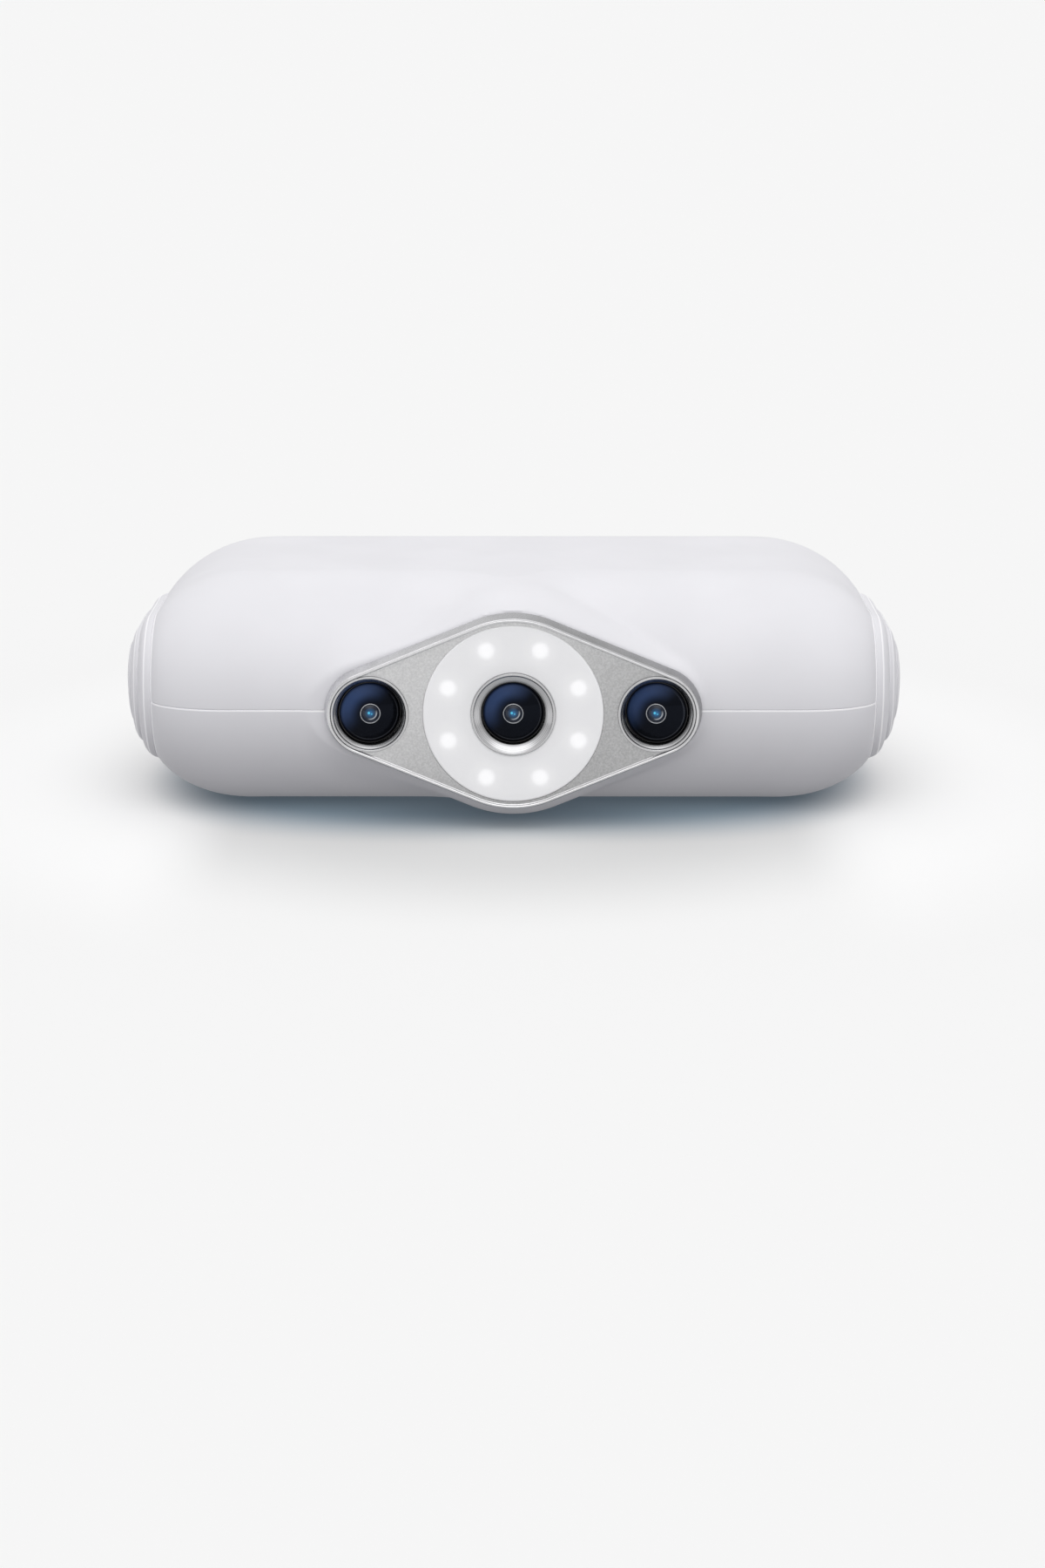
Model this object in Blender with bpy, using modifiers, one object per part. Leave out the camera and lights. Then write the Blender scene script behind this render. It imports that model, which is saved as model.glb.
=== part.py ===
"""Handheld scanner with two cameras, a projector and a ring light behind one metal bezel.

Metres, +Z up. The front looks along -Y and the rear panel faces +Y. The origin is on the
underside, at the middle of the whole length and depth. Run with Blender 4.5.
"""

import math

import bmesh
import bpy
from mathutils import Matrix, Vector

# Fits
GAP = 0.0003
OVERRUN = 0.002
SPIN_MERGE = 0.00001

# Body: one long rounded casing, split at its middle height, with a domed cap on each end
LENGTH = 0.155
BODY_DEPTH = 0.080
HEIGHT = 0.046
WALL = 0.0022
FLAT_SHARE = 0.40
FRONT_CORNER = 0.0152
FRONT_RECEDE = 0.0084
FRONT_RUN_SHARE = 1.013
BACK_CORNER = 0.0236
BACK_RECEDE = 0.033
BACK_RUN_SHARE = 1.017
HEIGHT_CORNER = 0.019
HEIGHT_DROP = 0.0152
HEIGHT_RUN_SHARE = 1.116
CORNER_STEPS = 7
STATION_STEPS = 7

# End caps: stepped rounded plates, each smaller than the last, over a spigot
CAP_RISE = 0.0069
CAP_WALL = 0.0018
SPIGOT = 0.003
TERRACE_SHARES = ((1.0, 0.0), (0.81, 0.435), (0.58, 0.74), (0.37, 0.90), (0.08, 1.0))
TERRACE_STEPS = 2
BULGE_SHARE = 0.50
CAP_HOLLOW_SHARES = ((1.0, 0.0), (0.80, 0.50), (0.30, 0.90))

# Bezel: a flat lozenge, the hull of one large and two small circles
BEZEL_PROUD = 0.004
BEZEL_THICK = 0.0035
LOBE_R = 0.0193
SIDE_LOBE_R = 0.0088
LENS_SPACING = 0.0275
BEZEL_DRAFT = 0.0006
LIP_WIDTH = 0.0012
LIP_HEIGHT = 0.0007
LIP_ROUND = 0.0003
LOBE_STEPS = 7
SIDE_LOBE_STEPS = 10

# White fairing that carries the bezel and runs back into the casing
FAIRING_DEPTH = 0.0245
FAIRING_FLARE = 0.0035
FLARE_SHARES = ((0.0, 0.07), (0.085, 0.5), (0.17, 0.76), (0.33, 0.95), (0.5, 1.0), (1.0, 1.0))
OPENING_MARGIN = 0.002
OPENING_DEPTH = 0.014

# Ring light
DIFFUSER_R = 0.01735
DIFFUSER_THICK = 0.0022
DIFFUSER_ROUND = 0.0004
LED_BOARD_R = 0.0165
LED_BOARD_BORE_R = 0.0068
BOARD_THICK = 0.0012
LED_SIZE = 0.0028
LED_THICK = 0.0007
LED_CIRCLE_R = 0.0135
LED_COUNT = 8

# Lens trims, glasses and barrels
CENTRE_RING_R = 0.0081
SIDE_RING_R = 0.00745
RING_BACK_BORE_R = 0.0066
RING_LAND = 0.0003
RING_BEHIND = 0.0003
RING_DEPTH = 0.0025
BARREL_R = 0.0059
BARREL_BEHIND = 0.0030
BARREL_CHAMFER = 0.0003
GLASS_R = 0.00525
GLASS_BEHIND = 0.0034
GLASS_CROWN = 0.0013
GLASS_EDGE = 0.0010
GLASS_STEPS = 4
THREAD_R = 0.0048
THREAD_LENGTH = 0.0030
TOE_IN = math.radians(6.5)
ROUND_STEPS = 24
FINE_STEPS = 36

# Camera and projector units behind the frame
FRAME_THICK = 0.0020
CAMERA_SIZE = 0.0140
CAMERA_DEPTH = 0.0100
PROJECTOR_WIDTH = 0.0180
PROJECTOR_HEIGHT = 0.0160
PROJECTOR_DEPTH = 0.0140
TILT_ROOM = 0.0009
SENSOR_BOARD_MARGIN = 0.0010
EDGE_ROUND = 0.0006

# Screws
FRAME_SCREW_X = 0.0200
FRAME_SCREW_Z = 0.0080
BEZEL_BOSS_R = 0.0019
SCREW_SHANK_R = 0.0008
SCREW_HEAD_R = 0.0017
SCREW_HEAD = 0.0012
SCREW_BITE = 0.0012
CASE_SCREW_Y = 0.0100
CASE_BOSS_R = 0.0044
CASE_TOP_BOSS_R = 0.0032
CASE_COUNTERBORE_R = 0.0030
CASE_COUNTERBORE = 0.0050
CASE_SHANK_R = 0.0012
CASE_HEAD_R = 0.0026
CASE_HEAD = 0.0018
CASE_BITE = 0.0080
SCREW_STEPS = 12

# Tripod socket
INSERT_R = 0.0052
INSERT_BORE_R = 0.003175
INSERT_LENGTH = 0.0085
INSERT_BOSS_R = 0.0085
INSERT_ROOF = 0.0012

# Main board, its parts and its posts
MAIN_BOARD_FRONT = 0.0130
MAIN_BOARD_DEPTH = 0.0380
MAIN_BOARD_THICK = 0.0016
MAIN_BOARD_RISE = 0.0130
BOARD_CLEAR = 0.0016
RIBBON_CLEAR = 0.0026
POST_R = 0.0026
POST_MARGIN = 0.0032
BOARD_SCREW_SHANK = 0.0060
PROCESSOR_SIZE = 0.0140
PROCESSOR_THICK = 0.0014
MEMORY_LENGTH = 0.0110
MEMORY_WIDTH = 0.0080
MEMORY_THICK = 0.0011
MEMORY_SPACING = 0.0180
SINK_SIZE = 0.0220
SINK_BASE = 0.0020
SINK_HEIGHT = 0.0100
FIN_COUNT = 7
FIN_THICK = 0.0012

# Rear panel, let into a flat pocket in the back
PANEL_END = 0.0020
PANEL_HEIGHT = 0.0150
PANEL_THICK = 0.0016
PANEL_SUNK = 0.0011
PANEL_EDGE = 0.0003
LEDGE_WIDTH = 0.0014
LEDGE_DEPTH = 0.0034
LEDGE_MARGIN = 0.0017
PANEL_STEPS = 10
REAR_BOARD_THICK = 0.0016
REAR_BOARD_HEIGHT = 0.0170

# Buttons and their switches
SCAN_BUTTON_R = 0.0050
SIDE_BUTTON_R = 0.0038
BUTTON_PITCH = 0.0130
BUTTON_PROUD = 0.0009
BUTTON_ROUND = 0.0004
BUTTON_FLANGE = 0.0008
FLANGE_THICK = 0.0007
SWITCH_SIZE = 0.0046
SWITCH_HEIGHT = 0.0016
SWITCH_FLOOR = 0.0003
PLUNGER_R = 0.0009
PLUNGER_LENGTH = 0.0012

# Sockets and status light
SOCKET_CLEAR = 0.0033
USB_WIDTH = 0.0090
USB_HEIGHT = 0.0032
USB_SKIN = 0.0004
USB_TONGUE_WIDTH = 0.0066
USB_TONGUE_THICK = 0.0007
USB_BACK = 0.0008
SOCKET_SUNK = 0.0002
JACK_R = 0.0040
JACK_BORE_R = 0.0031
JACK_PIN_R = 0.0010
JACK_PIN_SUNK = 0.0008
JACK_BACK = 0.0008
LIGHT_CLEAR = 0.0012
LIGHT_R = 0.0012
LIGHT_PROUD = 0.0002
STATUS_LED_SIZE = 0.0020
STATUS_LED_THICK = 0.0009

# Ribbon cables
RIBBON_WIDTH = 0.0060
RIBBON_THICK = 0.0003
RIBBON_DROP = 0.0020
RIBBON_LAND = 0.0040
RIBBON_STEPS = 6

# Planes that the sizes above settle
SEAM_X = LENGTH / 2 - CAP_RISE
PARTING_Z = HEIGHT / 2
BODY_CENTRE_Y = BEZEL_PROUD / 2
BODY_FRONT = BODY_CENTRE_Y - BODY_DEPTH / 2
BODY_BACK = BODY_CENTRE_Y + BODY_DEPTH / 2
BEZEL_FRONT = BODY_FRONT - BEZEL_PROUD
BEZEL_BACK = BEZEL_FRONT + BEZEL_THICK
PLATE_Y = BEZEL_FRONT + LIP_HEIGHT
FAIRING_FRONT = BEZEL_BACK + GAP
RING_FRONT = BEZEL_FRONT + RING_BEHIND
DIFFUSER_BACK = PLATE_Y + DIFFUSER_THICK
LED_FRONT = DIFFUSER_BACK + GAP
LED_BOARD_FRONT = LED_FRONT + LED_THICK + GAP
FRAME_FRONT = LED_BOARD_FRONT + BOARD_THICK + GAP
FRAME_BACK = FRAME_FRONT + FRAME_THICK
FRAME_MIDDLE = (FRAME_FRONT + FRAME_BACK) / 2
BARREL_FRONT = RING_FRONT + BARREL_BEHIND
GLASS_RIM = RING_FRONT + GLASS_BEHIND
PANEL_FACE = BODY_BACK - PANEL_SUNK
PANEL_BACK = PANEL_FACE - PANEL_THICK
POCKET_Y = PANEL_BACK - GAP
LEDGE_BACK = POCKET_Y - LEDGE_DEPTH
REAR_BOARD_FACE = LEDGE_BACK - GAP
FLANGE_FACE = PANEL_BACK - GAP
SWITCH_BASE = REAR_BOARD_FACE + GAP
MAIN_BOARD_TOP = MAIN_BOARD_RISE + MAIN_BOARD_THICK
MAIN_BOARD_Y = BODY_CENTRE_Y - MAIN_BOARD_FRONT
FLOOR_MIDDLE = WALL / 2
CEILING_MIDDLE = HEIGHT - WALL / 2

# Places and lengths that follow what sits side by side
BOARD_SCREW_X = LENS_SPACING + RIBBON_WIDTH / 2 + RIBBON_CLEAR + SCREW_HEAD_R
MAIN_BOARD_LENGTH = 2 * (BOARD_SCREW_X + POST_MARGIN)
CASE_SCREW_X = MAIN_BOARD_LENGTH / 2 + BOARD_CLEAR + CASE_BOSS_R
LIGHT_X = BUTTON_PITCH + SIDE_BUTTON_R + BUTTON_FLANGE + LIGHT_CLEAR + LIGHT_R
SOCKET_X = LIGHT_X + LIGHT_R + SOCKET_CLEAR + JACK_R
PANEL_LENGTH = 2 * (SOCKET_X + PANEL_END + PANEL_HEIGHT / 2)

# Colour, roughness and metallic value of each finish
FINISHES = {
    "white_plastic": ((0.83, 0.83, 0.84), 0.34, 0.0),
    "satin_metal": ((0.50, 0.50, 0.51), 0.42, 1.0),
    "chrome": ((0.72, 0.72, 0.72), 0.14, 1.0),
    "milky_plastic": ((0.80, 0.80, 0.81), 0.40, 0.0),
    "dark_glass": ((0.010, 0.014, 0.035), 0.05, 0.0),
    "black_metal": ((0.030, 0.030, 0.032), 0.35, 0.9),
    "board_green": ((0.020, 0.150, 0.060), 0.45, 0.0),
    "led_white": ((0.90, 0.90, 0.85), 0.35, 0.0),
    "aluminium": ((0.62, 0.63, 0.64), 0.38, 1.0),
    "chip_black": ((0.022, 0.022, 0.024), 0.50, 0.0),
    "brass": ((0.68, 0.47, 0.16), 0.30, 1.0),
    "steel": ((0.56, 0.56, 0.57), 0.28, 1.0),
    "grey_plastic": ((0.30, 0.31, 0.33), 0.45, 0.0),
    "soft_grey": ((0.52, 0.53, 0.55), 0.50, 0.0),
    "ribbon_tan": ((0.62, 0.40, 0.16), 0.50, 0.0),
    "clear_light": ((0.55, 0.80, 0.95), 0.20, 0.0),
}

FRONTWARD = math.radians(90)


def clear_scene():
    """Removes every object and leaves one collection for the parts and one for the cutters."""
    for obj in list(bpy.data.objects):
        bpy.data.objects.remove(obj, do_unlink=True)
    made = []
    for name in ("handheld_scanner", "cutters"):
        collection = bpy.data.collections.new(name)
        bpy.context.scene.collection.children.link(collection)
        made.append(collection)
    return made


def finish(name, kind):
    """A plain Principled material for one sub-part."""
    colour, rough, metal = FINISHES[kind]
    material = bpy.data.materials.new(name + "_finish")
    material.use_nodes = True
    shader = material.node_tree.nodes["Principled BSDF"]
    shader.inputs["Base Color"].default_value = (*colour, 1.0)
    shader.inputs["Roughness"].default_value = rough
    shader.inputs["Metallic"].default_value = metal
    return material


def new_object(name, mesh, kind=None):
    """Puts a mesh in the parts, or in the cutters where it has no finish."""
    obj = bpy.data.objects.new(name, mesh)
    if kind:
        PARTS.objects.link(obj)
        mesh.materials.append(finish(name, kind))
    else:
        CUTTERS.objects.link(obj)
        obj.hide_render = True
        obj.display_type = "WIRE"
    return obj


def mesh_from(name, bm):
    bmesh.ops.recalc_face_normals(bm, faces=bm.faces)
    mesh = bpy.data.meshes.new(name)
    bm.to_mesh(mesh)
    bm.free()
    return mesh


def smooth(mesh):
    mesh.shade_smooth()
    mesh.set_sharp_from_angle(angle=math.radians(35))


def loft(name, rings, kind=None):
    """A closed solid through rings of equally many points, flat at both ends."""
    bm = bmesh.new()
    loops = [[bm.verts.new(point) for point in ring] for ring in rings]
    count = len(loops[0])
    for near, far in zip(loops, loops[1:]):
        for i in range(count):
            j = (i + 1) % count
            bm.faces.new((near[i], near[j], far[j], far[i]))
    bm.faces.new(loops[0])
    bm.faces.new(loops[-1])
    mesh = mesh_from(name, bm)
    smooth(mesh)
    return new_object(name, mesh, kind)


def box(name, low, high, kind=None, rounding=0.0):
    """A box between two corners, with its edges rounded where asked."""
    low, high = Vector(low), Vector(high)
    bm = bmesh.new()
    size = Matrix.Diagonal((*(high - low), 1.0))
    bmesh.ops.create_cube(bm, size=1.0, matrix=Matrix.Translation((low + high) / 2) @ size)
    obj = new_object(name, mesh_from(name, bm), kind)
    if rounding:
        bevel = obj.modifiers.new("rounded_edges", "BEVEL")
        bevel.width = rounding
        bevel.segments = 2
    return obj


def rod(name, radius, start, end, steps=ROUND_STEPS, kind=None):
    """A cylinder from one point to another."""
    start, end = Vector(start), Vector(end)
    along = end - start
    place = Matrix.Translation((start + end) / 2)
    turn = along.to_track_quat("Z", "Y").to_matrix().to_4x4()
    bm = bmesh.new()
    bmesh.ops.create_cone(
        bm,
        cap_ends=True,
        segments=steps,
        radius1=radius,
        radius2=radius,
        depth=along.length,
        matrix=place @ turn,
    )
    return new_object(name, mesh_from(name, bm), kind)


def turned(name, profile, place, turn, kind=None, steps=ROUND_STEPS):
    """A profile of (radius, height) points, outer side first and downwards, spun round local Z."""
    closed = profile[0][0] > 0
    mesh = bpy.data.meshes.new(name)
    count = len(profile)
    edges = [(i, i + 1) for i in range(count - 1)]
    if closed:
        edges.append((count - 1, 0))
    mesh.from_pydata([(radius, 0.0, height) for radius, height in profile], edges, [])
    obj = new_object(name, mesh, kind)
    obj.location = place
    obj.rotation_euler = turn
    spin = obj.modifiers.new("spin", "SCREW")
    spin.steps = steps
    spin.render_steps = steps
    spin.use_merge_vertices = True
    spin.merge_threshold = SPIN_MERGE
    spin.use_smooth_shade = False
    return obj


def cut(obj, other, operation="DIFFERENCE"):
    """Adds one Boolean step to an object."""
    step = obj.modifiers.new(operation.lower() + "_" + other.name, "BOOLEAN")
    step.operation = operation
    step.solver = "EXACT"
    step.object = other


def receded(travel, run, drop):
    """How far an elliptical corner has fallen back after some travel along it."""
    share = min(max(travel / run, 0.0), 1.0)
    return drop * (1 - math.sqrt(1 - share * share))


def body_limits(x):
    """Front, back and half height of the casing at one place along its length."""
    past = min(abs(x), SEAM_X) - SEAM_X
    front = receded(past + FRONT_CORNER, FRONT_CORNER * FRONT_RUN_SHARE, FRONT_RECEDE)
    back = receded(past + BACK_CORNER, BACK_CORNER * BACK_RUN_SHARE, BACK_RECEDE)
    drop = receded(past + HEIGHT_CORNER, HEIGHT_CORNER * HEIGHT_RUN_SHARE, HEIGHT_DROP)
    return BODY_FRONT + front, BODY_BACK - back, HEIGHT / 2 - drop


def section(x, inset=0.0, share=1.0):
    """Points round the casing's section: a flat top and bottom between elliptical sides."""
    front, back, half = body_limits(x)
    reach = (back - front) / 2 - inset
    middle = (front + back) / 2
    half -= inset
    flat = reach * FLAT_SHARE
    points = []
    for quarter in range(4):
        side = 1 if quarter in (0, 3) else -1
        first = 1 if quarter == 2 else 0
        last = CORNER_STEPS if quarter == 3 else CORNER_STEPS + 1
        for step in range(first, last):
            angle = (quarter + step / CORNER_STEPS) * math.pi / 2
            y = side * flat + (reach - flat) * math.cos(angle)
            z = PARTING_Z + half * math.sin(angle) * share
            points.append(Vector((x, middle + y * share, z)))
    return points


def stations(extra=0.0):
    """Places along the length where the section is drawn, closest together near the seams."""
    start = SEAM_X - BACK_CORNER
    places = []
    for step in range(STATION_STEPS + 1):
        share = math.sin(step / STATION_STEPS * math.pi / 2)
        places.append(start + BACK_CORNER * share)
    if extra:
        places.append(SEAM_X + extra)
    return [-x for x in reversed(places)] + places


def lobes(offset, y):
    """The bezel's outline, moved outwards by an offset, as points at one depth."""
    lean = math.asin((LOBE_R - SIDE_LOBE_R) / LENS_SPACING)
    quarter = math.pi / 2
    arcs = (
        (LENS_SPACING, SIDE_LOBE_R, lean - quarter, quarter - lean, SIDE_LOBE_STEPS),
        (0.0, LOBE_R, quarter - lean, quarter + lean, LOBE_STEPS),
        (-LENS_SPACING, SIDE_LOBE_R, quarter + lean, 3 * quarter - lean, SIDE_LOBE_STEPS),
        (0.0, LOBE_R, 3 * quarter - lean, 3 * quarter + lean, LOBE_STEPS),
    )
    points = []
    for centre, radius, start, end, steps in arcs:
        for step in range(steps + 1):
            angle = start + (end - start) * step / steps
            x = centre + (radius + offset) * math.cos(angle)
            points.append(Vector((x, y, PARTING_Z + (radius + offset) * math.sin(angle))))
    return points


def pill(half_length, half_height, y):
    """A long outline with round ends, at one depth on the back."""
    straight = half_length - half_height
    points = []
    for side in (1, -1):
        for step in range(PANEL_STEPS + 1):
            angle = (step / PANEL_STEPS - 1 / 2) * math.pi
            x = side * (straight + half_height * math.cos(angle))
            points.append(Vector((x, y, PARTING_Z + side * half_height * math.sin(angle))))
    return points


def screw_profile(head_r, head, shank_r, shank):
    """A plain screw, head up, with its seat at height zero."""
    return [
        (0.0, head),
        (head_r, head),
        (head_r, 0.0),
        (shank_r, 0.0),
        (shank_r, -shank),
        (0.0, -shank),
    ]


def shell_cutters():
    """The shapes that both halves of the casing are joined with or cut by, in order."""
    flared = []
    for depth, flare in FLARE_SHARES:
        flared.append(lobes(FAIRING_FLARE * flare, FAIRING_FRONT + FAIRING_DEPTH * depth))
    fairing = loft("fairing", flared)
    cavity = loft("cavity", [section(x, WALL) for x in stations(OVERRUN)])
    half_length = PANEL_LENGTH / 2
    half_height = PANEL_HEIGHT / 2
    block_x = half_length + LEDGE_MARGIN
    block_z = half_height + LEDGE_MARGIN
    block_face = POCKET_Y - GAP / 2
    block = box(
        "panel_ledge",
        (-block_x, LEDGE_BACK, PARTING_Z - block_z),
        (block_x, block_face, PARTING_Z + block_z),
    )
    opening_back = FAIRING_FRONT + OPENING_DEPTH
    opening = loft(
        "front_opening",
        [lobes(-OPENING_MARGIN, FAIRING_FRONT - OVERRUN), lobes(-OPENING_MARGIN, opening_back)],
    )
    pocket = loft(
        "panel_pocket",
        [
            pill(half_length + GAP, half_height + GAP, POCKET_Y),
            pill(half_length + GAP, half_height + GAP, BODY_BACK + OVERRUN),
        ],
    )
    window = loft(
        "panel_window",
        [
            pill(half_length - LEDGE_WIDTH, half_height - LEDGE_WIDTH, LEDGE_BACK - OVERRUN),
            pill(half_length - LEDGE_WIDTH, half_height - LEDGE_WIDTH, POCKET_Y + OVERRUN),
        ],
    )
    return (
        (fairing, "UNION"),
        (cavity, "DIFFERENCE"),
        (block, "UNION"),
        (opening, "DIFFERENCE"),
        (pocket, "DIFFERENCE"),
        (window, "DIFFERENCE"),
    )


def case_screw_places():
    return [
        (x, BODY_CENTRE_Y + y)
        for x in (-CASE_SCREW_X, CASE_SCREW_X)
        for y in (-CASE_SCREW_Y, CASE_SCREW_Y)
    ]


def post_places():
    """Corner screws of the main board."""
    near = MAIN_BOARD_Y + POST_MARGIN
    far = MAIN_BOARD_Y + MAIN_BOARD_DEPTH - POST_MARGIN
    return [(side * BOARD_SCREW_X, y) for side in (-1, 1) for y in (near, far)]


def half_shell(name, low_z, high_z, shared):
    """One half of the casing, before its own posts and bores."""
    shell = loft(name, [section(x) for x in stations()], "white_plastic")
    for other, operation in shared:
        cut(shell, other, operation)
    reach = LENGTH / 2
    depth = BODY_DEPTH
    half = box(name + "_half", (-reach, -depth, low_z), (reach, depth, high_z))
    cut(shell, half, "INTERSECT")
    return shell


def build_shells():
    shared = shell_cutters()
    top = half_shell("top_shell", PARTING_Z + GAP / 2, HEIGHT + OVERRUN, shared)
    bottom = half_shell("bottom_shell", -OVERRUN, PARTING_Z - GAP / 2, shared)
    boss_z = PARTING_Z + GAP / 2
    for index, (x, y) in enumerate(case_screw_places()):
        tag = "case_" + str(index)
        cut(top, rod(tag + "_top_boss", CASE_TOP_BOSS_R, (x, y, boss_z), (x, y, CEILING_MIDDLE)), "UNION")
        bore_top = PARTING_Z + CASE_BITE + GAP
        cut(top, rod(tag + "_top_bore", CASE_SHANK_R + GAP, (x, y, 0.0), (x, y, bore_top), SCREW_STEPS))
        low_boss = rod(tag + "_boss", CASE_BOSS_R, (x, y, FLOOR_MIDDLE), (x, y, PARTING_Z - GAP / 2))
        cut(bottom, low_boss, "UNION")
        ends = [(x, y, z) for z in (-OVERRUN, CASE_COUNTERBORE)]
        cut(bottom, rod(tag + "_counterbore", CASE_COUNTERBORE_R, *ends))
        cut(bottom, rod(tag + "_bore", CASE_SHANK_R + GAP, (x, y, 0.0), (x, y, HEIGHT), SCREW_STEPS))
    for index, (x, y) in enumerate(post_places()):
        tag = "post_" + str(index)
        post_top = MAIN_BOARD_RISE - GAP
        cut(bottom, rod(tag, POST_R, (x, y, FLOOR_MIDDLE), (x, y, post_top), SCREW_STEPS), "UNION")
        bore = rod(tag + "_bore", SCREW_SHANK_R + GAP, (x, y, WALL), (x, y, HEIGHT), SCREW_STEPS)
        cut(bottom, bore)
    centre = (0.0, BODY_CENTRE_Y)
    roof = INSERT_LENGTH + GAP
    boss_ends = [(*centre, z) for z in (FLOOR_MIDDLE, roof + INSERT_ROOF)]
    cut(bottom, rod("insert_boss", INSERT_BOSS_R, *boss_ends), "UNION")
    cut(bottom, rod("insert_bore", INSERT_R + GAP, (*centre, -OVERRUN), (*centre, roof)))


def terrace_rings():
    """(share, height share) pairs down the cap's outside: rounded steps between the corners."""
    rings = []
    for (near, low), (far, high) in zip(TERRACE_SHARES, TERRACE_SHARES[1:]):
        control = (
            (near + far) / 2 + BULGE_SHARE * (near - far) / 2,
            (low + high) / 2 + BULGE_SHARE * (high - low) / 2,
        )
        for step in range(TERRACE_STEPS):
            t = step / TERRACE_STEPS
            ring = []
            for start, middle, end in zip((near, low), control, (far, high)):
                ring.append((1 - t) ** 2 * start + 2 * t * (1 - t) * middle + t * t * end)
            rings.append(tuple(ring))
    rings.append(TERRACE_SHARES[-1])
    return rings


def cap_ring(x, inset, share):
    """The seam's section, inset and scaled, moved out to x."""
    points = section(SEAM_X, inset, share)
    for point in points:
        point.x = x
    return points


def build_end_caps():
    face = SEAM_X + GAP
    rise = CAP_RISE - GAP
    spigot_inset = WALL + GAP
    hollow_inset = spigot_inset + CAP_WALL
    hollow_rise = rise - CAP_WALL
    rings = [cap_ring(face + rise * height, 0.0, share) for share, height in reversed(terrace_rings())]
    rings.append(cap_ring(face, spigot_inset, 1.0))
    rings.append(cap_ring(SEAM_X - SPIGOT, spigot_inset, 1.0))
    rings.append(cap_ring(SEAM_X - SPIGOT, hollow_inset, 1.0))
    for share, height in CAP_HOLLOW_SHARES:
        rings.append(cap_ring(face + hollow_rise * height, hollow_inset, share))
    loft("right_end_cap", rings, "white_plastic")
    mirrored = [[Vector((-p.x, p.y, p.z)) for p in ring] for ring in rings]
    loft("left_end_cap", mirrored, "white_plastic")


def lens_places():
    return (("left", -LENS_SPACING), ("centre", 0.0), ("right", LENS_SPACING))


def frame_screw_places():
    return [
        (side * FRAME_SCREW_X, PARTING_Z + rise)
        for side in (-1, 1)
        for rise in (-FRAME_SCREW_Z, FRAME_SCREW_Z)
    ]


def build_bezel():
    front = -BEZEL_DRAFT
    inner = front - LIP_WIDTH
    rings = [
        lobes(0.0, BEZEL_BACK),
        lobes(front, BEZEL_FRONT + LIP_ROUND),
        lobes(front - LIP_ROUND, BEZEL_FRONT),
        lobes(inner + LIP_ROUND, BEZEL_FRONT),
        lobes(inner, BEZEL_FRONT + LIP_ROUND),
        lobes(inner, PLATE_Y),
    ]
    bezel = loft("front_bezel", rings, "satin_metal")
    boss_back = FRAME_FRONT - GAP
    root = BEZEL_BACK - GAP
    bore_front = BEZEL_BACK - SCREW_BITE - GAP
    for index, (x, z) in enumerate(frame_screw_places()):
        boss = rod("bezel_boss_" + str(index), BEZEL_BOSS_R, (x, root, z), (x, boss_back, z), SCREW_STEPS)
        cut(bezel, boss, "UNION")
        bore = rod(
            "bezel_bore_" + str(index),
            SCREW_SHANK_R + GAP,
            (x, bore_front, z),
            (x, boss_back + OVERRUN, z),
            SCREW_STEPS,
        )
        cut(bezel, bore)
    for side, x in lens_places():
        radius = SIDE_RING_R + GAP if x else DIFFUSER_R + GAP
        steps = ROUND_STEPS if x else FINE_STEPS
        start = (x, BEZEL_FRONT - OVERRUN, PARTING_Z)
        end = (x, BEZEL_BACK + OVERRUN, PARTING_Z)
        cut(bezel, rod(side + "_bezel_hole", radius, start, end, steps))


def build_ring_light():
    bore = CENTRE_RING_R + GAP
    turned(
        "light_ring",
        [
            (DIFFUSER_R - DIFFUSER_ROUND, 0.0),
            (DIFFUSER_R, -DIFFUSER_ROUND),
            (DIFFUSER_R, -DIFFUSER_THICK),
            (bore, -DIFFUSER_THICK),
            (bore, -DIFFUSER_ROUND),
            (bore + DIFFUSER_ROUND, 0.0),
        ],
        (0.0, PLATE_Y, PARTING_Z),
        (FRONTWARD, 0.0, 0.0),
        "milky_plastic",
        FINE_STEPS,
    )
    board = turned(
        "led_board",
        [
            (LED_BOARD_R, 0.0),
            (LED_BOARD_R, -BOARD_THICK),
            (LED_BOARD_BORE_R, -BOARD_THICK),
            (LED_BOARD_BORE_R, 0.0),
        ],
        (0.0, LED_BOARD_FRONT, PARTING_Z),
        (FRONTWARD, 0.0, 0.0),
        "board_green",
        FINE_STEPS,
    )
    half = LED_SIZE / 2
    for index in range(LED_COUNT):
        angle = 2 * math.pi * (index + 1 / 2) / LED_COUNT
        x = LED_CIRCLE_R * math.cos(angle)
        z = PARTING_Z + LED_CIRCLE_R * math.sin(angle)
        low = (x - half, LED_FRONT, z - half)
        cut(board, box("led_" + str(index), low, (x + half, LED_BOARD_FRONT + GAP, z + half)), "UNION")


def glass_profile():
    """A crowned front over a straight edge, from the pole down to the flat back."""
    points = []
    bow = (GLASS_R * GLASS_R + GLASS_CROWN * GLASS_CROWN) / (2 * GLASS_CROWN)
    for step in range(GLASS_STEPS + 1):
        radius = GLASS_R * step / GLASS_STEPS
        points.append((radius, GLASS_CROWN - bow + math.sqrt(bow * bow - radius * radius)))
    points.append((GLASS_R, -GLASS_EDGE))
    points.append((0.0, -GLASS_EDGE))
    return points


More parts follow.
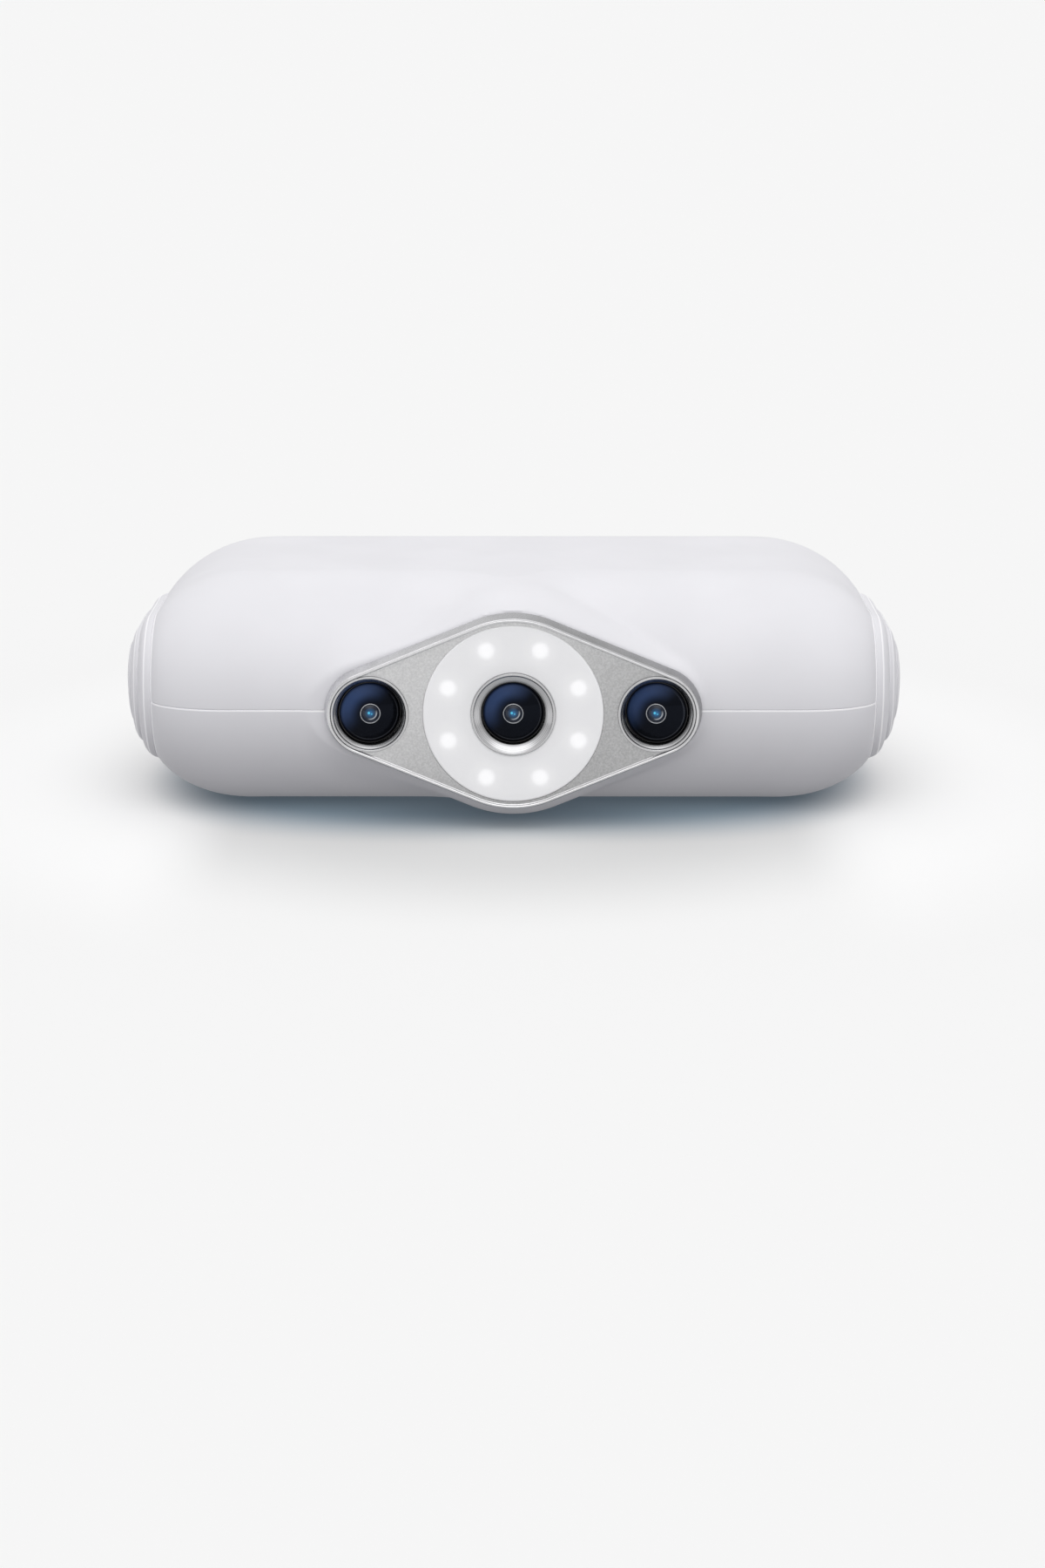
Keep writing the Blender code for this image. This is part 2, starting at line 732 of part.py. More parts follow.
def build_optics():
    """Trim ring, glass, barrel, unit and board at each of the three lens places."""
    frame = loft(
        "optical_frame",
        [lobes(-OPENING_MARGIN - GAP, FRAME_FRONT), lobes(-OPENING_MARGIN - GAP, FRAME_BACK)],
        "aluminium",
    )
    for x, z in frame_screw_places():
        ends = [(x, y, z) for y in (FRAME_FRONT - OVERRUN, FRAME_BACK + OVERRUN)]
        cut(frame, rod("frame_bore", SCREW_SHANK_R + GAP, *ends, SCREW_STEPS))
    for side, x in lens_places():
        sign = (x < 0) - (x > 0)
        toe = sign * TOE_IN
        pivot = Vector((x, FRAME_MIDDLE, PARTING_Z))
        turn = (FRONTWARD, 0.0, toe)
        aim = Matrix.Rotation(toe, 3, "Z")
        outer = SIDE_RING_R if x else CENTRE_RING_R
        turned(
            side + "_lens_ring",
            [
                (outer - RING_LAND, 0.0),
                (outer, -RING_LAND),
                (outer, -RING_DEPTH),
                (RING_BACK_BORE_R, -RING_DEPTH),
                (outer - 2 * RING_LAND, -RING_LAND),
            ],
            (x, RING_FRONT, PARTING_Z),
            (FRONTWARD, 0.0, 0.0),
            "chrome",
            FINE_STEPS,
        )
        glass_y = GLASS_RIM - FRAME_MIDDLE
        turned(
            side + "_lens_glass",
            glass_profile(),
            pivot + aim @ Vector((0.0, glass_y, 0.0)),
            turn,
            "dark_glass",
        )
        seat_r = GLASS_R + GAP
        seat_back = GLASS_RIM + GLASS_EDGE + GAP - BARREL_FRONT
        room = TILT_ROOM if x else GAP
        unit_front = FRAME_BACK + room
        shoulder = unit_front - GAP - BARREL_FRONT
        tail = shoulder + THREAD_LENGTH
        turned(
            side + "_lens_barrel",
            [
                (0.0, -seat_back),
                (seat_r, -seat_back),
                (seat_r, -BARREL_CHAMFER),
                (seat_r + BARREL_CHAMFER / 2, 0.0),
                (BARREL_R, -BARREL_CHAMFER),
                (BARREL_R, -shoulder),
                (THREAD_R, -shoulder),
                (THREAD_R, -tail),
                (0.0, -tail),
            ],
            pivot + aim @ Vector((0.0, BARREL_FRONT - FRAME_MIDDLE, 0.0)),
            turn,
            "black_metal",
        )
        hole_ends = [(x, y, PARTING_Z) for y in (FRAME_FRONT - OVERRUN, FRAME_BACK + OVERRUN)]
        cut(frame, rod(side + "_frame_hole", BARREL_R + GAP, *hole_ends))
        if x:
            width = height = CAMERA_SIZE
            depth = CAMERA_DEPTH
            unit_name = side + "_camera_housing"
        else:
            width, height = PROJECTOR_WIDTH, PROJECTOR_HEIGHT
            depth = PROJECTOR_DEPTH
            unit_name = "projector_housing"
        low_y = unit_front - FRAME_MIDDLE
        high_y = low_y + depth
        corner = (-width / 2, low_y, -height / 2)
        unit = box(unit_name, corner, (width / 2, high_y, height / 2), "black_metal", EDGE_ROUND)
        unit.location = pivot
        unit.rotation_euler = (0.0, 0.0, toe)
        start = pivot + aim @ Vector((0.0, low_y - OVERRUN, 0.0))
        end = pivot + aim @ Vector((0.0, low_y + THREAD_LENGTH, 0.0))
        cut(unit, rod(side + "_unit_bore", THREAD_R + GAP, start, end))
        wide = width / 2 + SENSOR_BOARD_MARGIN
        tall = height / 2 + SENSOR_BOARD_MARGIN
        board_y = high_y + GAP
        board_name = side + "_sensor_board" if x else "projector_board"
        high = (wide, board_y + BOARD_THICK, tall)
        board = box(board_name, (-wide, board_y, -tall), high, "board_green")
        board.location = pivot
        board.rotation_euler = (0.0, 0.0, toe)
    shank = FRAME_BACK + GAP - (BEZEL_BACK - SCREW_BITE)
    for index, (x, z) in enumerate(frame_screw_places()):
        turned(
            "frame_screw_" + str(index + 1),
            screw_profile(SCREW_HEAD_R, SCREW_HEAD, SCREW_SHANK_R, shank),
            (x, FRAME_BACK + GAP, z),
            (-FRONTWARD, 0.0, 0.0),
            "steel",
            SCREW_STEPS,
        )


def build_main_board():
    half = MAIN_BOARD_LENGTH / 2
    far = MAIN_BOARD_Y + MAIN_BOARD_DEPTH
    low = (-half, MAIN_BOARD_Y, MAIN_BOARD_RISE)
    board = box("main_board", low, (half, far, MAIN_BOARD_TOP), "board_green")
    for index, (x, y) in enumerate(post_places()):
        ends = [(x, y, z) for z in (MAIN_BOARD_RISE - OVERRUN, MAIN_BOARD_TOP + OVERRUN)]
        cut(board, rod("board_hole_" + str(index), SCREW_SHANK_R + GAP, *ends, SCREW_STEPS))
    centre_y = MAIN_BOARD_Y + MAIN_BOARD_DEPTH / 2
    chip = PROCESSOR_SIZE / 2
    chip_z = MAIN_BOARD_TOP + GAP
    chip_top = chip_z + PROCESSOR_THICK
    box("processor", (-chip, centre_y - chip, chip_z), (chip, centre_y + chip, chip_top), "chip_black")
    half_l, half_w = MEMORY_LENGTH / 2, MEMORY_WIDTH / 2
    for side, x in (("left", -MEMORY_SPACING), ("right", MEMORY_SPACING)):
        low = (x - half_w, centre_y - half_l, chip_z)
        high = (x + half_w, centre_y + half_l, chip_z + MEMORY_THICK)
        box(side + "_memory_chip", low, high, "chip_black")
    sink = SINK_SIZE / 2
    sink_z = chip_top + GAP
    low = (-sink, centre_y - sink, sink_z)
    heat_sink = box("heat_sink", low, (sink, centre_y + sink, sink_z + SINK_HEIGHT), "aluminium")
    slot = (SINK_SIZE - FIN_COUNT * FIN_THICK) / (FIN_COUNT - 1)
    for index in range(FIN_COUNT - 1):
        x = -sink + FIN_THICK + index * (slot + FIN_THICK)
        near = (x, centre_y - sink - OVERRUN, sink_z + SINK_BASE)
        beyond = (x + slot, centre_y + sink + OVERRUN, sink_z + SINK_HEIGHT + OVERRUN)
        cut(heat_sink, box("fin_slot_" + str(index), near, beyond))
    head_seat = MAIN_BOARD_TOP + GAP
    for index, (x, y) in enumerate(post_places()):
        turned(
            "board_screw_" + str(index + 1),
            screw_profile(SCREW_HEAD_R, SCREW_HEAD, SCREW_SHANK_R, BOARD_SCREW_SHANK),
            (x, y, head_seat),
            (0.0, 0.0, 0.0),
            "steel",
            SCREW_STEPS,
        )


def build_case_screws():
    shank = PARTING_Z + CASE_BITE - CASE_COUNTERBORE
    for index, (x, y) in enumerate(case_screw_places()):
        turned(
            "case_screw_" + str(index + 1),
            screw_profile(CASE_HEAD_R, CASE_HEAD, CASE_SHANK_R, shank),
            (x, y, CASE_COUNTERBORE - GAP),
            (2 * FRONTWARD, 0.0, 0.0),
            "steel",
            SCREW_STEPS,
        )
    turned(
        "tripod_insert",
        [
            (INSERT_R, INSERT_LENGTH),
            (INSERT_R, 0.0),
            (INSERT_BORE_R, 0.0),
            (INSERT_BORE_R, INSERT_LENGTH),
        ],
        (0.0, BODY_CENTRE_Y, 0.0),
        (0.0, 0.0, 0.0),
        "brass",
    )


def button_places():
    return (
        ("minus", -BUTTON_PITCH, SIDE_BUTTON_R),
        ("scan", 0.0, SCAN_BUTTON_R),
        ("plus", BUTTON_PITCH, SIDE_BUTTON_R),
    )


def build_rear_panel():
    half_length, half_height = PANEL_LENGTH / 2, PANEL_HEIGHT / 2
    panel = loft(
        "control_panel",
        [
            pill(half_length, half_height, PANEL_BACK),
            pill(half_length, half_height, PANEL_FACE - PANEL_EDGE),
            pill(half_length - PANEL_EDGE, half_height - PANEL_EDGE, PANEL_FACE),
        ],
        "soft_grey",
    )
    low_y, high_y = PANEL_BACK - OVERRUN, PANEL_FACE + OVERRUN
    holes = [(name, x, radius, ROUND_STEPS) for name, x, radius in button_places()]
    holes.append(("jack", -SOCKET_X, JACK_R, ROUND_STEPS))
    holes.append(("light", LIGHT_X, LIGHT_R, SCREW_STEPS))
    for name, x, radius, steps in holes:
        ends = [(x, y, PARTING_Z) for y in (low_y, high_y)]
        cut(panel, rod(name + "_panel_hole", radius + GAP, *ends, steps))
    slot_x, slot_z = USB_WIDTH / 2 + GAP, USB_HEIGHT / 2 + GAP
    slot = loft("usb_slot", [usb_outline(slot_x, slot_z, low_y), usb_outline(slot_x, slot_z, high_y)])
    cut(panel, slot)
    board_back = REAR_BOARD_FACE - REAR_BOARD_THICK
    tall = REAR_BOARD_HEIGHT / 2
    board_x = half_length + LEDGE_MARGIN
    low = (-board_x, board_back, PARTING_Z - tall)
    box("rear_board", low, (board_x, REAR_BOARD_FACE, PARTING_Z + tall), "board_green")


def usb_outline(half_x, half_z, y):
    """The socket's outline: a pill lying at the socket's place."""
    points = pill(half_x, half_z, y)
    for point in points:
        point.x += SOCKET_X
    return points


def build_buttons():
    for name, x, radius in button_places():
        crown = PANEL_FACE + BUTTON_PROUD
        depth = crown - FLANGE_FACE
        turned(
            name + "_button",
            [
                (0.0, 0.0),
                (radius - BUTTON_ROUND, 0.0),
                (radius, -BUTTON_ROUND),
                (radius, -depth),
                (radius + BUTTON_FLANGE, -depth),
                (radius + BUTTON_FLANGE, -depth - FLANGE_THICK),
                (0.0, -depth - FLANGE_THICK),
            ],
            (x, crown, PARTING_Z),
            (-FRONTWARD, 0.0, 0.0),
            "soft_grey",
        )
        half = SWITCH_SIZE / 2
        top = SWITCH_BASE + SWITCH_HEIGHT
        low = (x - half, SWITCH_BASE, PARTING_Z - half)
        switch = box(name + "_switch", low, (x + half, top, PARTING_Z + half), "chip_black")
        well = (x, SWITCH_BASE + SWITCH_FLOOR, PARTING_Z)
        mouth = (x, top + OVERRUN, PARTING_Z)
        cut(switch, rod(name + "_switch_well", PLUNGER_R + GAP, well, mouth, SCREW_STEPS))
        plunger_top = FLANGE_FACE - FLANGE_THICK - GAP
        start = (x, plunger_top - PLUNGER_LENGTH, PARTING_Z)
        rod(name + "_plunger", PLUNGER_R, start, (x, plunger_top, PARTING_Z), SCREW_STEPS, "grey_plastic")


def build_sockets():
    mouth = PANEL_FACE - SOCKET_SUNK
    half_x, half_z = USB_WIDTH / 2, USB_HEIGHT / 2
    usb = loft(
        "usb_socket",
        [usb_outline(half_x, half_z, SWITCH_BASE), usb_outline(half_x, half_z, mouth)],
        "steel",
    )
    floor = SWITCH_BASE + USB_BACK
    hollow = loft(
        "usb_hollow",
        [
            usb_outline(half_x - USB_SKIN, half_z - USB_SKIN, floor),
            usb_outline(half_x - USB_SKIN, half_z - USB_SKIN, mouth + OVERRUN),
        ],
    )
    wide, thick = USB_TONGUE_WIDTH / 2, USB_TONGUE_THICK / 2
    low = (SOCKET_X - wide, floor - OVERRUN, PARTING_Z - thick)
    tongue = box("usb_tongue", low, (SOCKET_X + wide, mouth - SOCKET_SUNK, PARTING_Z + thick))
    cut(hollow, tongue)
    cut(usb, hollow)
    depth = mouth - SWITCH_BASE
    well = depth - JACK_BACK
    turned(
        "power_jack",
        [
            (0.0, -JACK_PIN_SUNK),
            (JACK_PIN_R, -JACK_PIN_SUNK),
            (JACK_PIN_R, -well),
            (JACK_BORE_R, -well),
            (JACK_BORE_R, 0.0),
            (JACK_R, 0.0),
            (JACK_R, -depth),
            (0.0, -depth),
        ],
        (-SOCKET_X, mouth, PARTING_Z),
        (-FRONTWARD, 0.0, 0.0),
        "chip_black",
    )
    led_top = SWITCH_BASE + STATUS_LED_THICK
    half = STATUS_LED_SIZE / 2
    low = (LIGHT_X - half, SWITCH_BASE, PARTING_Z - half)
    box("status_led", low, (LIGHT_X + half, led_top, PARTING_Z + half), "led_white")
    start = (LIGHT_X, led_top + GAP, PARTING_Z)
    end = (LIGHT_X, PANEL_FACE + LIGHT_PROUD, PARTING_Z)
    rod("status_light", LIGHT_R, start, end, SCREW_STEPS, "clear_light")


def ribbon(name, x, start, end):
    """A flat cable that leaves one board, bends once and lies down on another."""
    start, end = Vector(start), Vector(end)
    path = []
    for step in range(RIBBON_STEPS + 1):
        angle = step / RIBBON_STEPS * math.pi / 2
        y = start.y + (end.y - start.y) * math.sin(angle)
        z = end.z + (start.z - end.z) * math.cos(angle)
        path.append((y, z))
    side = 1 if end.y > start.y else -1
    path.append((end.y + side * RIBBON_LAND, end.z))
    bm = bmesh.new()
    edges = (-RIBBON_WIDTH / 2, RIBBON_WIDTH / 2)
    rows = [[bm.verts.new((x + edge, y, z)) for edge in edges] for y, z in path]
    for near, far in zip(rows, rows[1:]):
        bm.faces.new((near[0], near[1], far[1], far[0]))
    obj = new_object(name, mesh_from(name, bm), "ribbon_tan")
    thick = obj.modifiers.new("thickness", "SOLIDIFY")
    thick.thickness = RIBBON_THICK
    thick.offset = 0.0


def build_ribbons():
    land_z = MAIN_BOARD_TOP + GAP + RIBBON_THICK / 2
    land_y = MAIN_BOARD_Y + RIBBON_DROP
    camera_back = FRAME_BACK + TILT_ROOM + CAMERA_DEPTH + GAP + BOARD_THICK
    sensor_back = camera_back + GAP + RIBBON_THICK + TILT_ROOM / 2
    inward = math.tan(TOE_IN) * (camera_back - FRAME_MIDDLE)
    for side, x in (("left", -LENS_SPACING - inward), ("right", LENS_SPACING + inward)):
        ribbon(side + "_camera_ribbon", x, (x, sensor_back, PARTING_Z), (x, land_y, land_z))
    projector_back = FRAME_BACK + GAP + PROJECTOR_DEPTH + GAP + BOARD_THICK
    middle_back = projector_back + GAP + RIBBON_THICK / 2
    ribbon("projector_ribbon", 0.0, (0.0, middle_back, PARTING_Z), (0.0, land_y, land_z))
    rear_start = REAR_BOARD_FACE - REAR_BOARD_THICK - GAP - RIBBON_THICK / 2
    rear_land = MAIN_BOARD_Y + MAIN_BOARD_DEPTH - RIBBON_DROP
    ribbon("rear_ribbon", 0.0, (0.0, rear_start, PARTING_Z), (0.0, rear_land, land_z))


PARTS, CUTTERS = clear_scene()
build_shells()
build_end_caps()
build_bezel()
build_ring_light()
build_optics()
build_main_board()
build_case_screws()
build_rear_panel()
build_buttons()
build_sockets()
build_ribbons()
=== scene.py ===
"""Dresses the handheld scanner: smooth white casing, metal bezel, ring light, lenses and rear panel."""

import math

import bmesh
import bpy
import numpy as np
from bpy.props import FloatProperty, FloatVectorProperty, IntProperty, PointerProperty
from mathutils import Euler, Matrix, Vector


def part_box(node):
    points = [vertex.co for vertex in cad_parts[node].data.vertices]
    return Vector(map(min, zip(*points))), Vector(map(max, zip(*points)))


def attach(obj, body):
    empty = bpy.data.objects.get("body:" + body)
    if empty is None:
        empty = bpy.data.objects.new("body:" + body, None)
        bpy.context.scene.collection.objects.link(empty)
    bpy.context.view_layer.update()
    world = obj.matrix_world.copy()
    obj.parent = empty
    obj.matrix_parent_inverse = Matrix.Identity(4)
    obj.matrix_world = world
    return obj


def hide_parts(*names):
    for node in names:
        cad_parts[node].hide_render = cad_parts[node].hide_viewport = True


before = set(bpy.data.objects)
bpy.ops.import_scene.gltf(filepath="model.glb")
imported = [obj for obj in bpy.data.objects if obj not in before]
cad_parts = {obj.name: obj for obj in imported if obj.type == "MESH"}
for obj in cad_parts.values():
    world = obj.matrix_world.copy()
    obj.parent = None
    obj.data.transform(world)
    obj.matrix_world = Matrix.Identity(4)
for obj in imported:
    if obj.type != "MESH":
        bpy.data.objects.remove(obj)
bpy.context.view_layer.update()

bl_info = {
    "name": "Handheld scanner",
    "version": (1, 0, 0),
    "blender": (4, 5, 0),
    "location": "View3D > Sidebar > Scanner",
    "description": "Builds the visible surfaces, finishes and studio of a handheld scanner",
    "category": "Object",
}

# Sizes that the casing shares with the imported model, in metres
LENGTH = 0.155
HEIGHT = 0.046
MIDDLE_Z = HEIGHT / 2
SEAM_X = 0.0706
CASING_END = SEAM_X + 0.00012
BODY_FRONT, BODY_BACK = -0.038, 0.042
CENTRE_Y = 0.002
FLAT_SHARE = 0.40
FRONT_CORNER, FRONT_RECEDE, FRONT_RUN = 0.0152, 0.0084, 1.013
BACK_CORNER, BACK_RECEDE, BACK_RUN = 0.0236, 0.033, 1.017
HEIGHT_CORNER, HEIGHT_DROP, HEIGHT_RUN = 0.019, 0.0152, 1.116
FAIRING_FRONT, FAIRING_DEPTH, FAIRING_FLARE = -0.0382, 0.0245, 0.0035
FLARES = ((0.0, 0.07), (0.085, 0.5), (0.17, 0.76), (0.33, 0.95), (0.5, 1.0), (1.0, 1.0))

# End caps: each terrace's reach and rise, as shares of the end's section and of the cap's height
TERRACES = ((1.0, 0.0), (0.81, 0.435), (0.58, 0.74), (0.37, 0.90), (0.08, 1.0))
CAP_ROOT, CAP_WALL, CAP_EDGE = 0.003, 0.0025, 0.00006

# Bosses inside the lower half: place, radius, top, bore radius and bore depth
TRIPOD_BOSS = (0.0, CENTRE_Y, 0.0085, 0.0100, 0.0055, 0.0088)
SCREW_BOSSES = [
    (x, CENTRE_Y + y, 0.0044, 0.0228, 0.0030, 0.0050) for x in (-0.044, 0.044) for y in (-0.01, 0.01)
]
BOSS_LOW, BORE_FLARE = 0.0011, 0.0003

# Bezel and lenses
BEZEL_FRONT, BEZEL_BACK, PLATE_Y = -0.042, -0.0385, -0.0413
LOBE_R, SIDE_R, LENS_X = 0.0193, 0.0088, 0.0275
LEAN = math.asin((LOBE_R - SIDE_R) / LENS_X)
PLATE, LIP, WALL = 0, 1, 2
SIDE_HOLE, MIDDLE_HOLE = 0.00748, 0.01738
SIDE_TRIM, MIDDLE_TRIM, TRIM_MOUTH = 0.00745, 0.0081, 0.0062
GLASS_Y, GLASS_RIM, GLASS_CROWN = -0.0395, 0.00576, 0.0014
GLASS_BEND = (GLASS_RIM * GLASS_RIM + GLASS_CROWN * GLASS_CROWN) / (2 * GLASS_CROWN)
TOE_IN = math.radians(6.5)

# Rear panel
PANEL_FACE, PANEL_THICK, PANEL_ROUNDING = 0.0409, 0.0016, 0.0003
PANEL_HALVES, POCKET_HALVES = (0.038, 0.0075), (0.0383, 0.0078)
POCKET_LIP_X, POCKET_LIP_R, POCKET_LIP_DEEP, POCKET_LIP_RISE = 0.0389, 0.0016, 0.0019, 0.002
SOCKET_X, JACK_X, STATUS_X = 0.0285, -0.0285, 0.020
PANEL_HOLES = ((0.0, 0.0053), (-0.013, 0.0041), (0.013, 0.0041), (JACK_X, 0.0043), (STATUS_X, 0.0015))
KEYS = (("scan", 0.0, 0.0050, "play"), ("plus", 0.013, 0.0038, "plus"), ("minus", -0.013, 0.0038, "minus"))
KEY_FACE, KEY_DISH, KEY_SKIRT, KEY_FLANGE = 0.0418, 0.00022, 0.0028, 0.0008
TRIPOD_BORE = 0.003175

FRONTWARD = Euler((math.radians(90), 0, 0)).to_matrix().to_4x4()
BACKWARD = Euler((math.radians(-90), 0, 0)).to_matrix().to_4x4()
DOWNWARD = Euler((math.pi, 0, 0)).to_matrix().to_4x4()
BLACK, WHITE = (0.0, 0.0, 0.0), (1.0, 1.0, 1.0)


def colour(name, default, description):
    return FloatVectorProperty(
        name=name, description=description, default=default, size=3, subtype="COLOR", min=0, max=1
    )


def length(name, default, description):
    return FloatProperty(
        name=name, description=description, default=default, unit="LENGTH", precision=5, min=0
    )


def share(name, default, description):
    return FloatProperty(name=name, description=description, default=default, min=0, max=1)


def level(name, default, description):
    return FloatProperty(name=name, description=description, default=default, min=0)


class CasingLook(bpy.types.PropertyGroup):
    white: colour("White plastic", (0.808, 0.803, 0.836), "Colour of the moulded casing")
    gloss: share("Roughness", 0.50, "Roughness of the casing's satin face")
    seam: length("Seam gap", 0.00002, "Visible gap between the two halves and at the caps")
    edge: length("Edge rounding", 0.00008, "Rounding of each half's edge at the seam")
    # The seam edges get a painted highlight: a paler copy of the white that glows a little along each seam.
    line: length("Edge line", 0.00042, "Width of the bright line along the seams")
    seam_highlight_glow: share("Edge shine", 0.05, "How much the rounded edges stand out")
    thickness: length("Wall", 0.002, "Thickness of the casing's skin")
    blend_left: length("Left blend", 0.0050, "Fillet where the fairing meets the casing on the left")
    blend_right: length("Right blend", 0.0004, "Fillet where the fairing meets the casing on the right")
    rows: IntProperty(name="Rows", description="Rows of faces over each half", default=132, min=24)


class BezelLook(bpy.types.PropertyGroup):
    plate: colour("Plate", (0.585, 0.585, 0.59), "Colour of the blasted metal plate")
    rim: colour("Rim", (0.66, 0.66, 0.67), "Colour of the polished lip")
    side: colour("Side wall", (0.46, 0.46, 0.47), "Colour of the satin side wall")
    lip: length("Lip width", 0.0007, "Width of the polished lip")
    draft: length("Draft", 0.0006, "How far the side wall leans in")


class RingLightLook(bpy.types.PropertyGroup):
    milk: colour("Diffuser", (0.82, 0.82, 0.835), "Colour of the milky ring")
    glow: level("Glow", 1.0, "Brightness of each lit spot")
    spot: length("Spot radius", 0.00132, "Radius of each lit spot")
    circle: length("Spot circle", 0.0135, "Radius of the circle of spots")
    count: IntProperty(name="Spots", description="How many spots are lit", default=8, min=1)


class LensLook(bpy.types.PropertyGroup):
    chrome: colour("Trim", (0.56, 0.56, 0.57), "Colour of the bright trim rings")
    glass: colour("Coating", (0.003, 0.0035, 0.005), "Colour of the coated glass")
    sheen: colour("Sheen", (0.60, 0.70, 1.0), "Tint of the coating's reflection")
    # A painted sheen: colour painted over the glass towards the upper left, standing in for a reflection of
    # the soft light.
    painted_sheen: colour("Crescent", (0.038, 0.068, 0.165), "Colour of the coating at the upper left")
    iris: colour("Inner lens", (0.01, 0.10, 0.26), "Colour of the inner lens")
    pupil: length("Inner ring radius", 0.00195, "Radius of the small inner ring")


class PanelLook(bpy.types.PropertyGroup):
    grey: colour("Panel", (0.17, 0.175, 0.185), "Colour of the rear panel")
    key: colour("Keys", (0.62, 0.63, 0.65), "Colour of the three keys")
    mark: colour("Marks", (0.06, 0.06, 0.065), "Colour of the key marks")
    lamp: colour("Status light", (0.25, 0.85, 1.0), "Colour of the status light")


class StudioLook(bpy.types.PropertyGroup):
    floor: colour("Floor", (0.892, 0.892, 0.892), "Colour of the floor and backdrop")
    shade: colour("Bounce", (0.085, 0.085, 0.095), "Floor colour that the object sees")
    fill: share("Fill", 0.25, "Light that the floor gives back even in the object's shadow")
    # Shadow tint: the colour of the painted shadow on the floor under the object.
    shadow: colour("Shadow tint", (0.30, 0.39, 0.46), "Colour of the floor under the object")
    sky: level("Sky", 0.80, "Strength of the surrounding light")
    key: level("Key", 1.1, "Strength of the soft panel in front and above")
    low: level("Horizon", 0.62, "Strength of the light near the horizon")


LOOKS = {
    "scanner_casing": CasingLook,
    "scanner_bezel": BezelLook,
    "scanner_ring_light": RingLightLook,
    "scanner_lenses": LensLook,
    "scanner_panel": PanelLook,
    "scanner_studio": StudioLook,
}


def binary(operation, swapped=False):
    """An operator of Wire that adds a Math node."""

    def method(self, other):
        return self.maths(operation, *((other, self) if swapped else (self, other)))

    return method


class Wire:
    """A node's output, so that shader maths reads as an expression."""

    def __init__(self, finish, socket):
        self.finish = finish
        self.socket = socket

    def maths(self, operation, *values):
        return self.finish.node("ShaderNodeMath", {"operation": operation}, values)

    __add__ = __radd__ = binary("ADD")
    __mul__ = __rmul__ = binary("MULTIPLY")
    __sub__, __rsub__ = binary("SUBTRACT"), binary("SUBTRACT", swapped=True)
    __truediv__, __rtruediv__ = binary("DIVIDE"), binary("DIVIDE", swapped=True)
    __pow__ = binary("POWER")
    __mod__ = binary("FLOORED_MODULO")

    def __abs__(self):
        return self.maths("ABSOLUTE", self)

    def fade(self, start, end, low=0.0, high=1.0):
        """Goes smoothly from low to high as the value goes from start to end."""
        settings = {"interpolation_type": "SMOOTHSTEP"}
        levels = {"Value": self, "From Min": start, "From Max": end, "To Min": low, "To Max": high}
        return self.finish.node("ShaderNodeMapRange", settings, levels)


def span(x, y):
    """Distance from the origin, of two wires."""
    return (x * x + y * y) ** 0.5


def configured(thing, settings):
    """The thing with its named settings changed."""
    for key, value in settings.items():
        setattr(thing, key, value)
    return thing


class Graph:
    """A node tree under construction, and the shader that it feeds."""

    def __init__(self, tree, shader):
        self.tree = tree
        self.shader = tree.nodes[shader]

    def feed(self, values, node=None):
        """Sets or links the named inputs of a node, the shader if none is given."""
        node = node or self.shader
        for key, value in values.items():
            socket = node.inputs[key]
            if isinstance(value, Wire):
                self.tree.links.new(value.socket, socket)
            elif hasattr(socket.default_value, "__len__") and hasattr(value, "__len__"):
                room = len(socket.default_value)
                socket.default_value = (*value, 1.0)[:room]
            else:
                socket.default_value = value

    def node(self, kind, settings=None, values=(), output=0):
        """Adds a node with its settings and inputs, and gives one of its outputs."""
        node = configured(self.tree.nodes.new(kind), settings or {})
        self.feed(values if isinstance(values, dict) else dict(enumerate(values)), node)
        return Wire(self, node.outputs[output])

    def place(self):
        """The place on the piece, in its own frame."""
        return self.node("ShaderNodeTexCoord", output=3)

    def axes(self, vector=None):
        vector = vector or self.place()
        return [self.node("ShaderNodeSeparateXYZ", None, (vector,), i) for i in range(3)]

    def stretched(self, factors):
        """The place on the piece, stretched along each axis."""
        return self.node("ShaderNodeVectorMath", {"operation": "MULTIPLY"}, (self.place(), factors))

    def noise(self, scale, detail=2.0, rough=0.5, vector=None):
        values = {"Vector": vector or self.place(), "Scale": scale, "Detail": detail, "Roughness": rough}
        return self.node("ShaderNodeTexNoise", None, values)

    def cells(self, scale):
        return self.node("ShaderNodeTexVoronoi", None, {"Vector": self.place(), "Scale": scale})

    def mix(self, factor, first, second):
        return self.node("ShaderNodeMix", {"data_type": "RGBA"}, {0: factor, 6: first, 7: second}, 2)

    def radius(self):
        """Distance from the piece's own turning axis, local Z."""
        x, y, _ = self.axes()
        return span(x, y)


class Finish(Graph):
    """A surface finish: a material and its Principled shader."""

    def __init__(self, name, base, rough, metal=0.0, **levels):
        self.material = bpy.data.materials.new(name)
        self.material.use_nodes = True
        super().__init__(self.material.node_tree, "Principled BSDF")
        self.feed({"Base Color": base, "Roughness": rough, "Metallic": metal})
        self.feed({key.replace("_", " ").title().replace("Ior", "IOR"): levels[key] for key in levels})
        self.material.diffuse_color = (*base, 1.0)

    def paint(self, factor, first, second):
        """Mixes the base colour from two."""
        self.feed({"Base Color": self.mix(factor, first, second)})

    def vary(self, pattern, low, high, start=0.3, end=0.7):
        """Roughness that goes from low to high with a pattern."""
        self.feed({"Roughness": pattern.fade(start, end, low, high)})

    def bump(self, height, depth, strength):
        values = {"Strength": strength, "Distance": depth, "Height": height}
        self.feed({"Normal": self.node("ShaderNodeBump", None, values)})


def tinted(tone, factor):
    """A colour made lighter or darker."""
    return tuple(min(channel * factor, 1.0) for channel in tone)


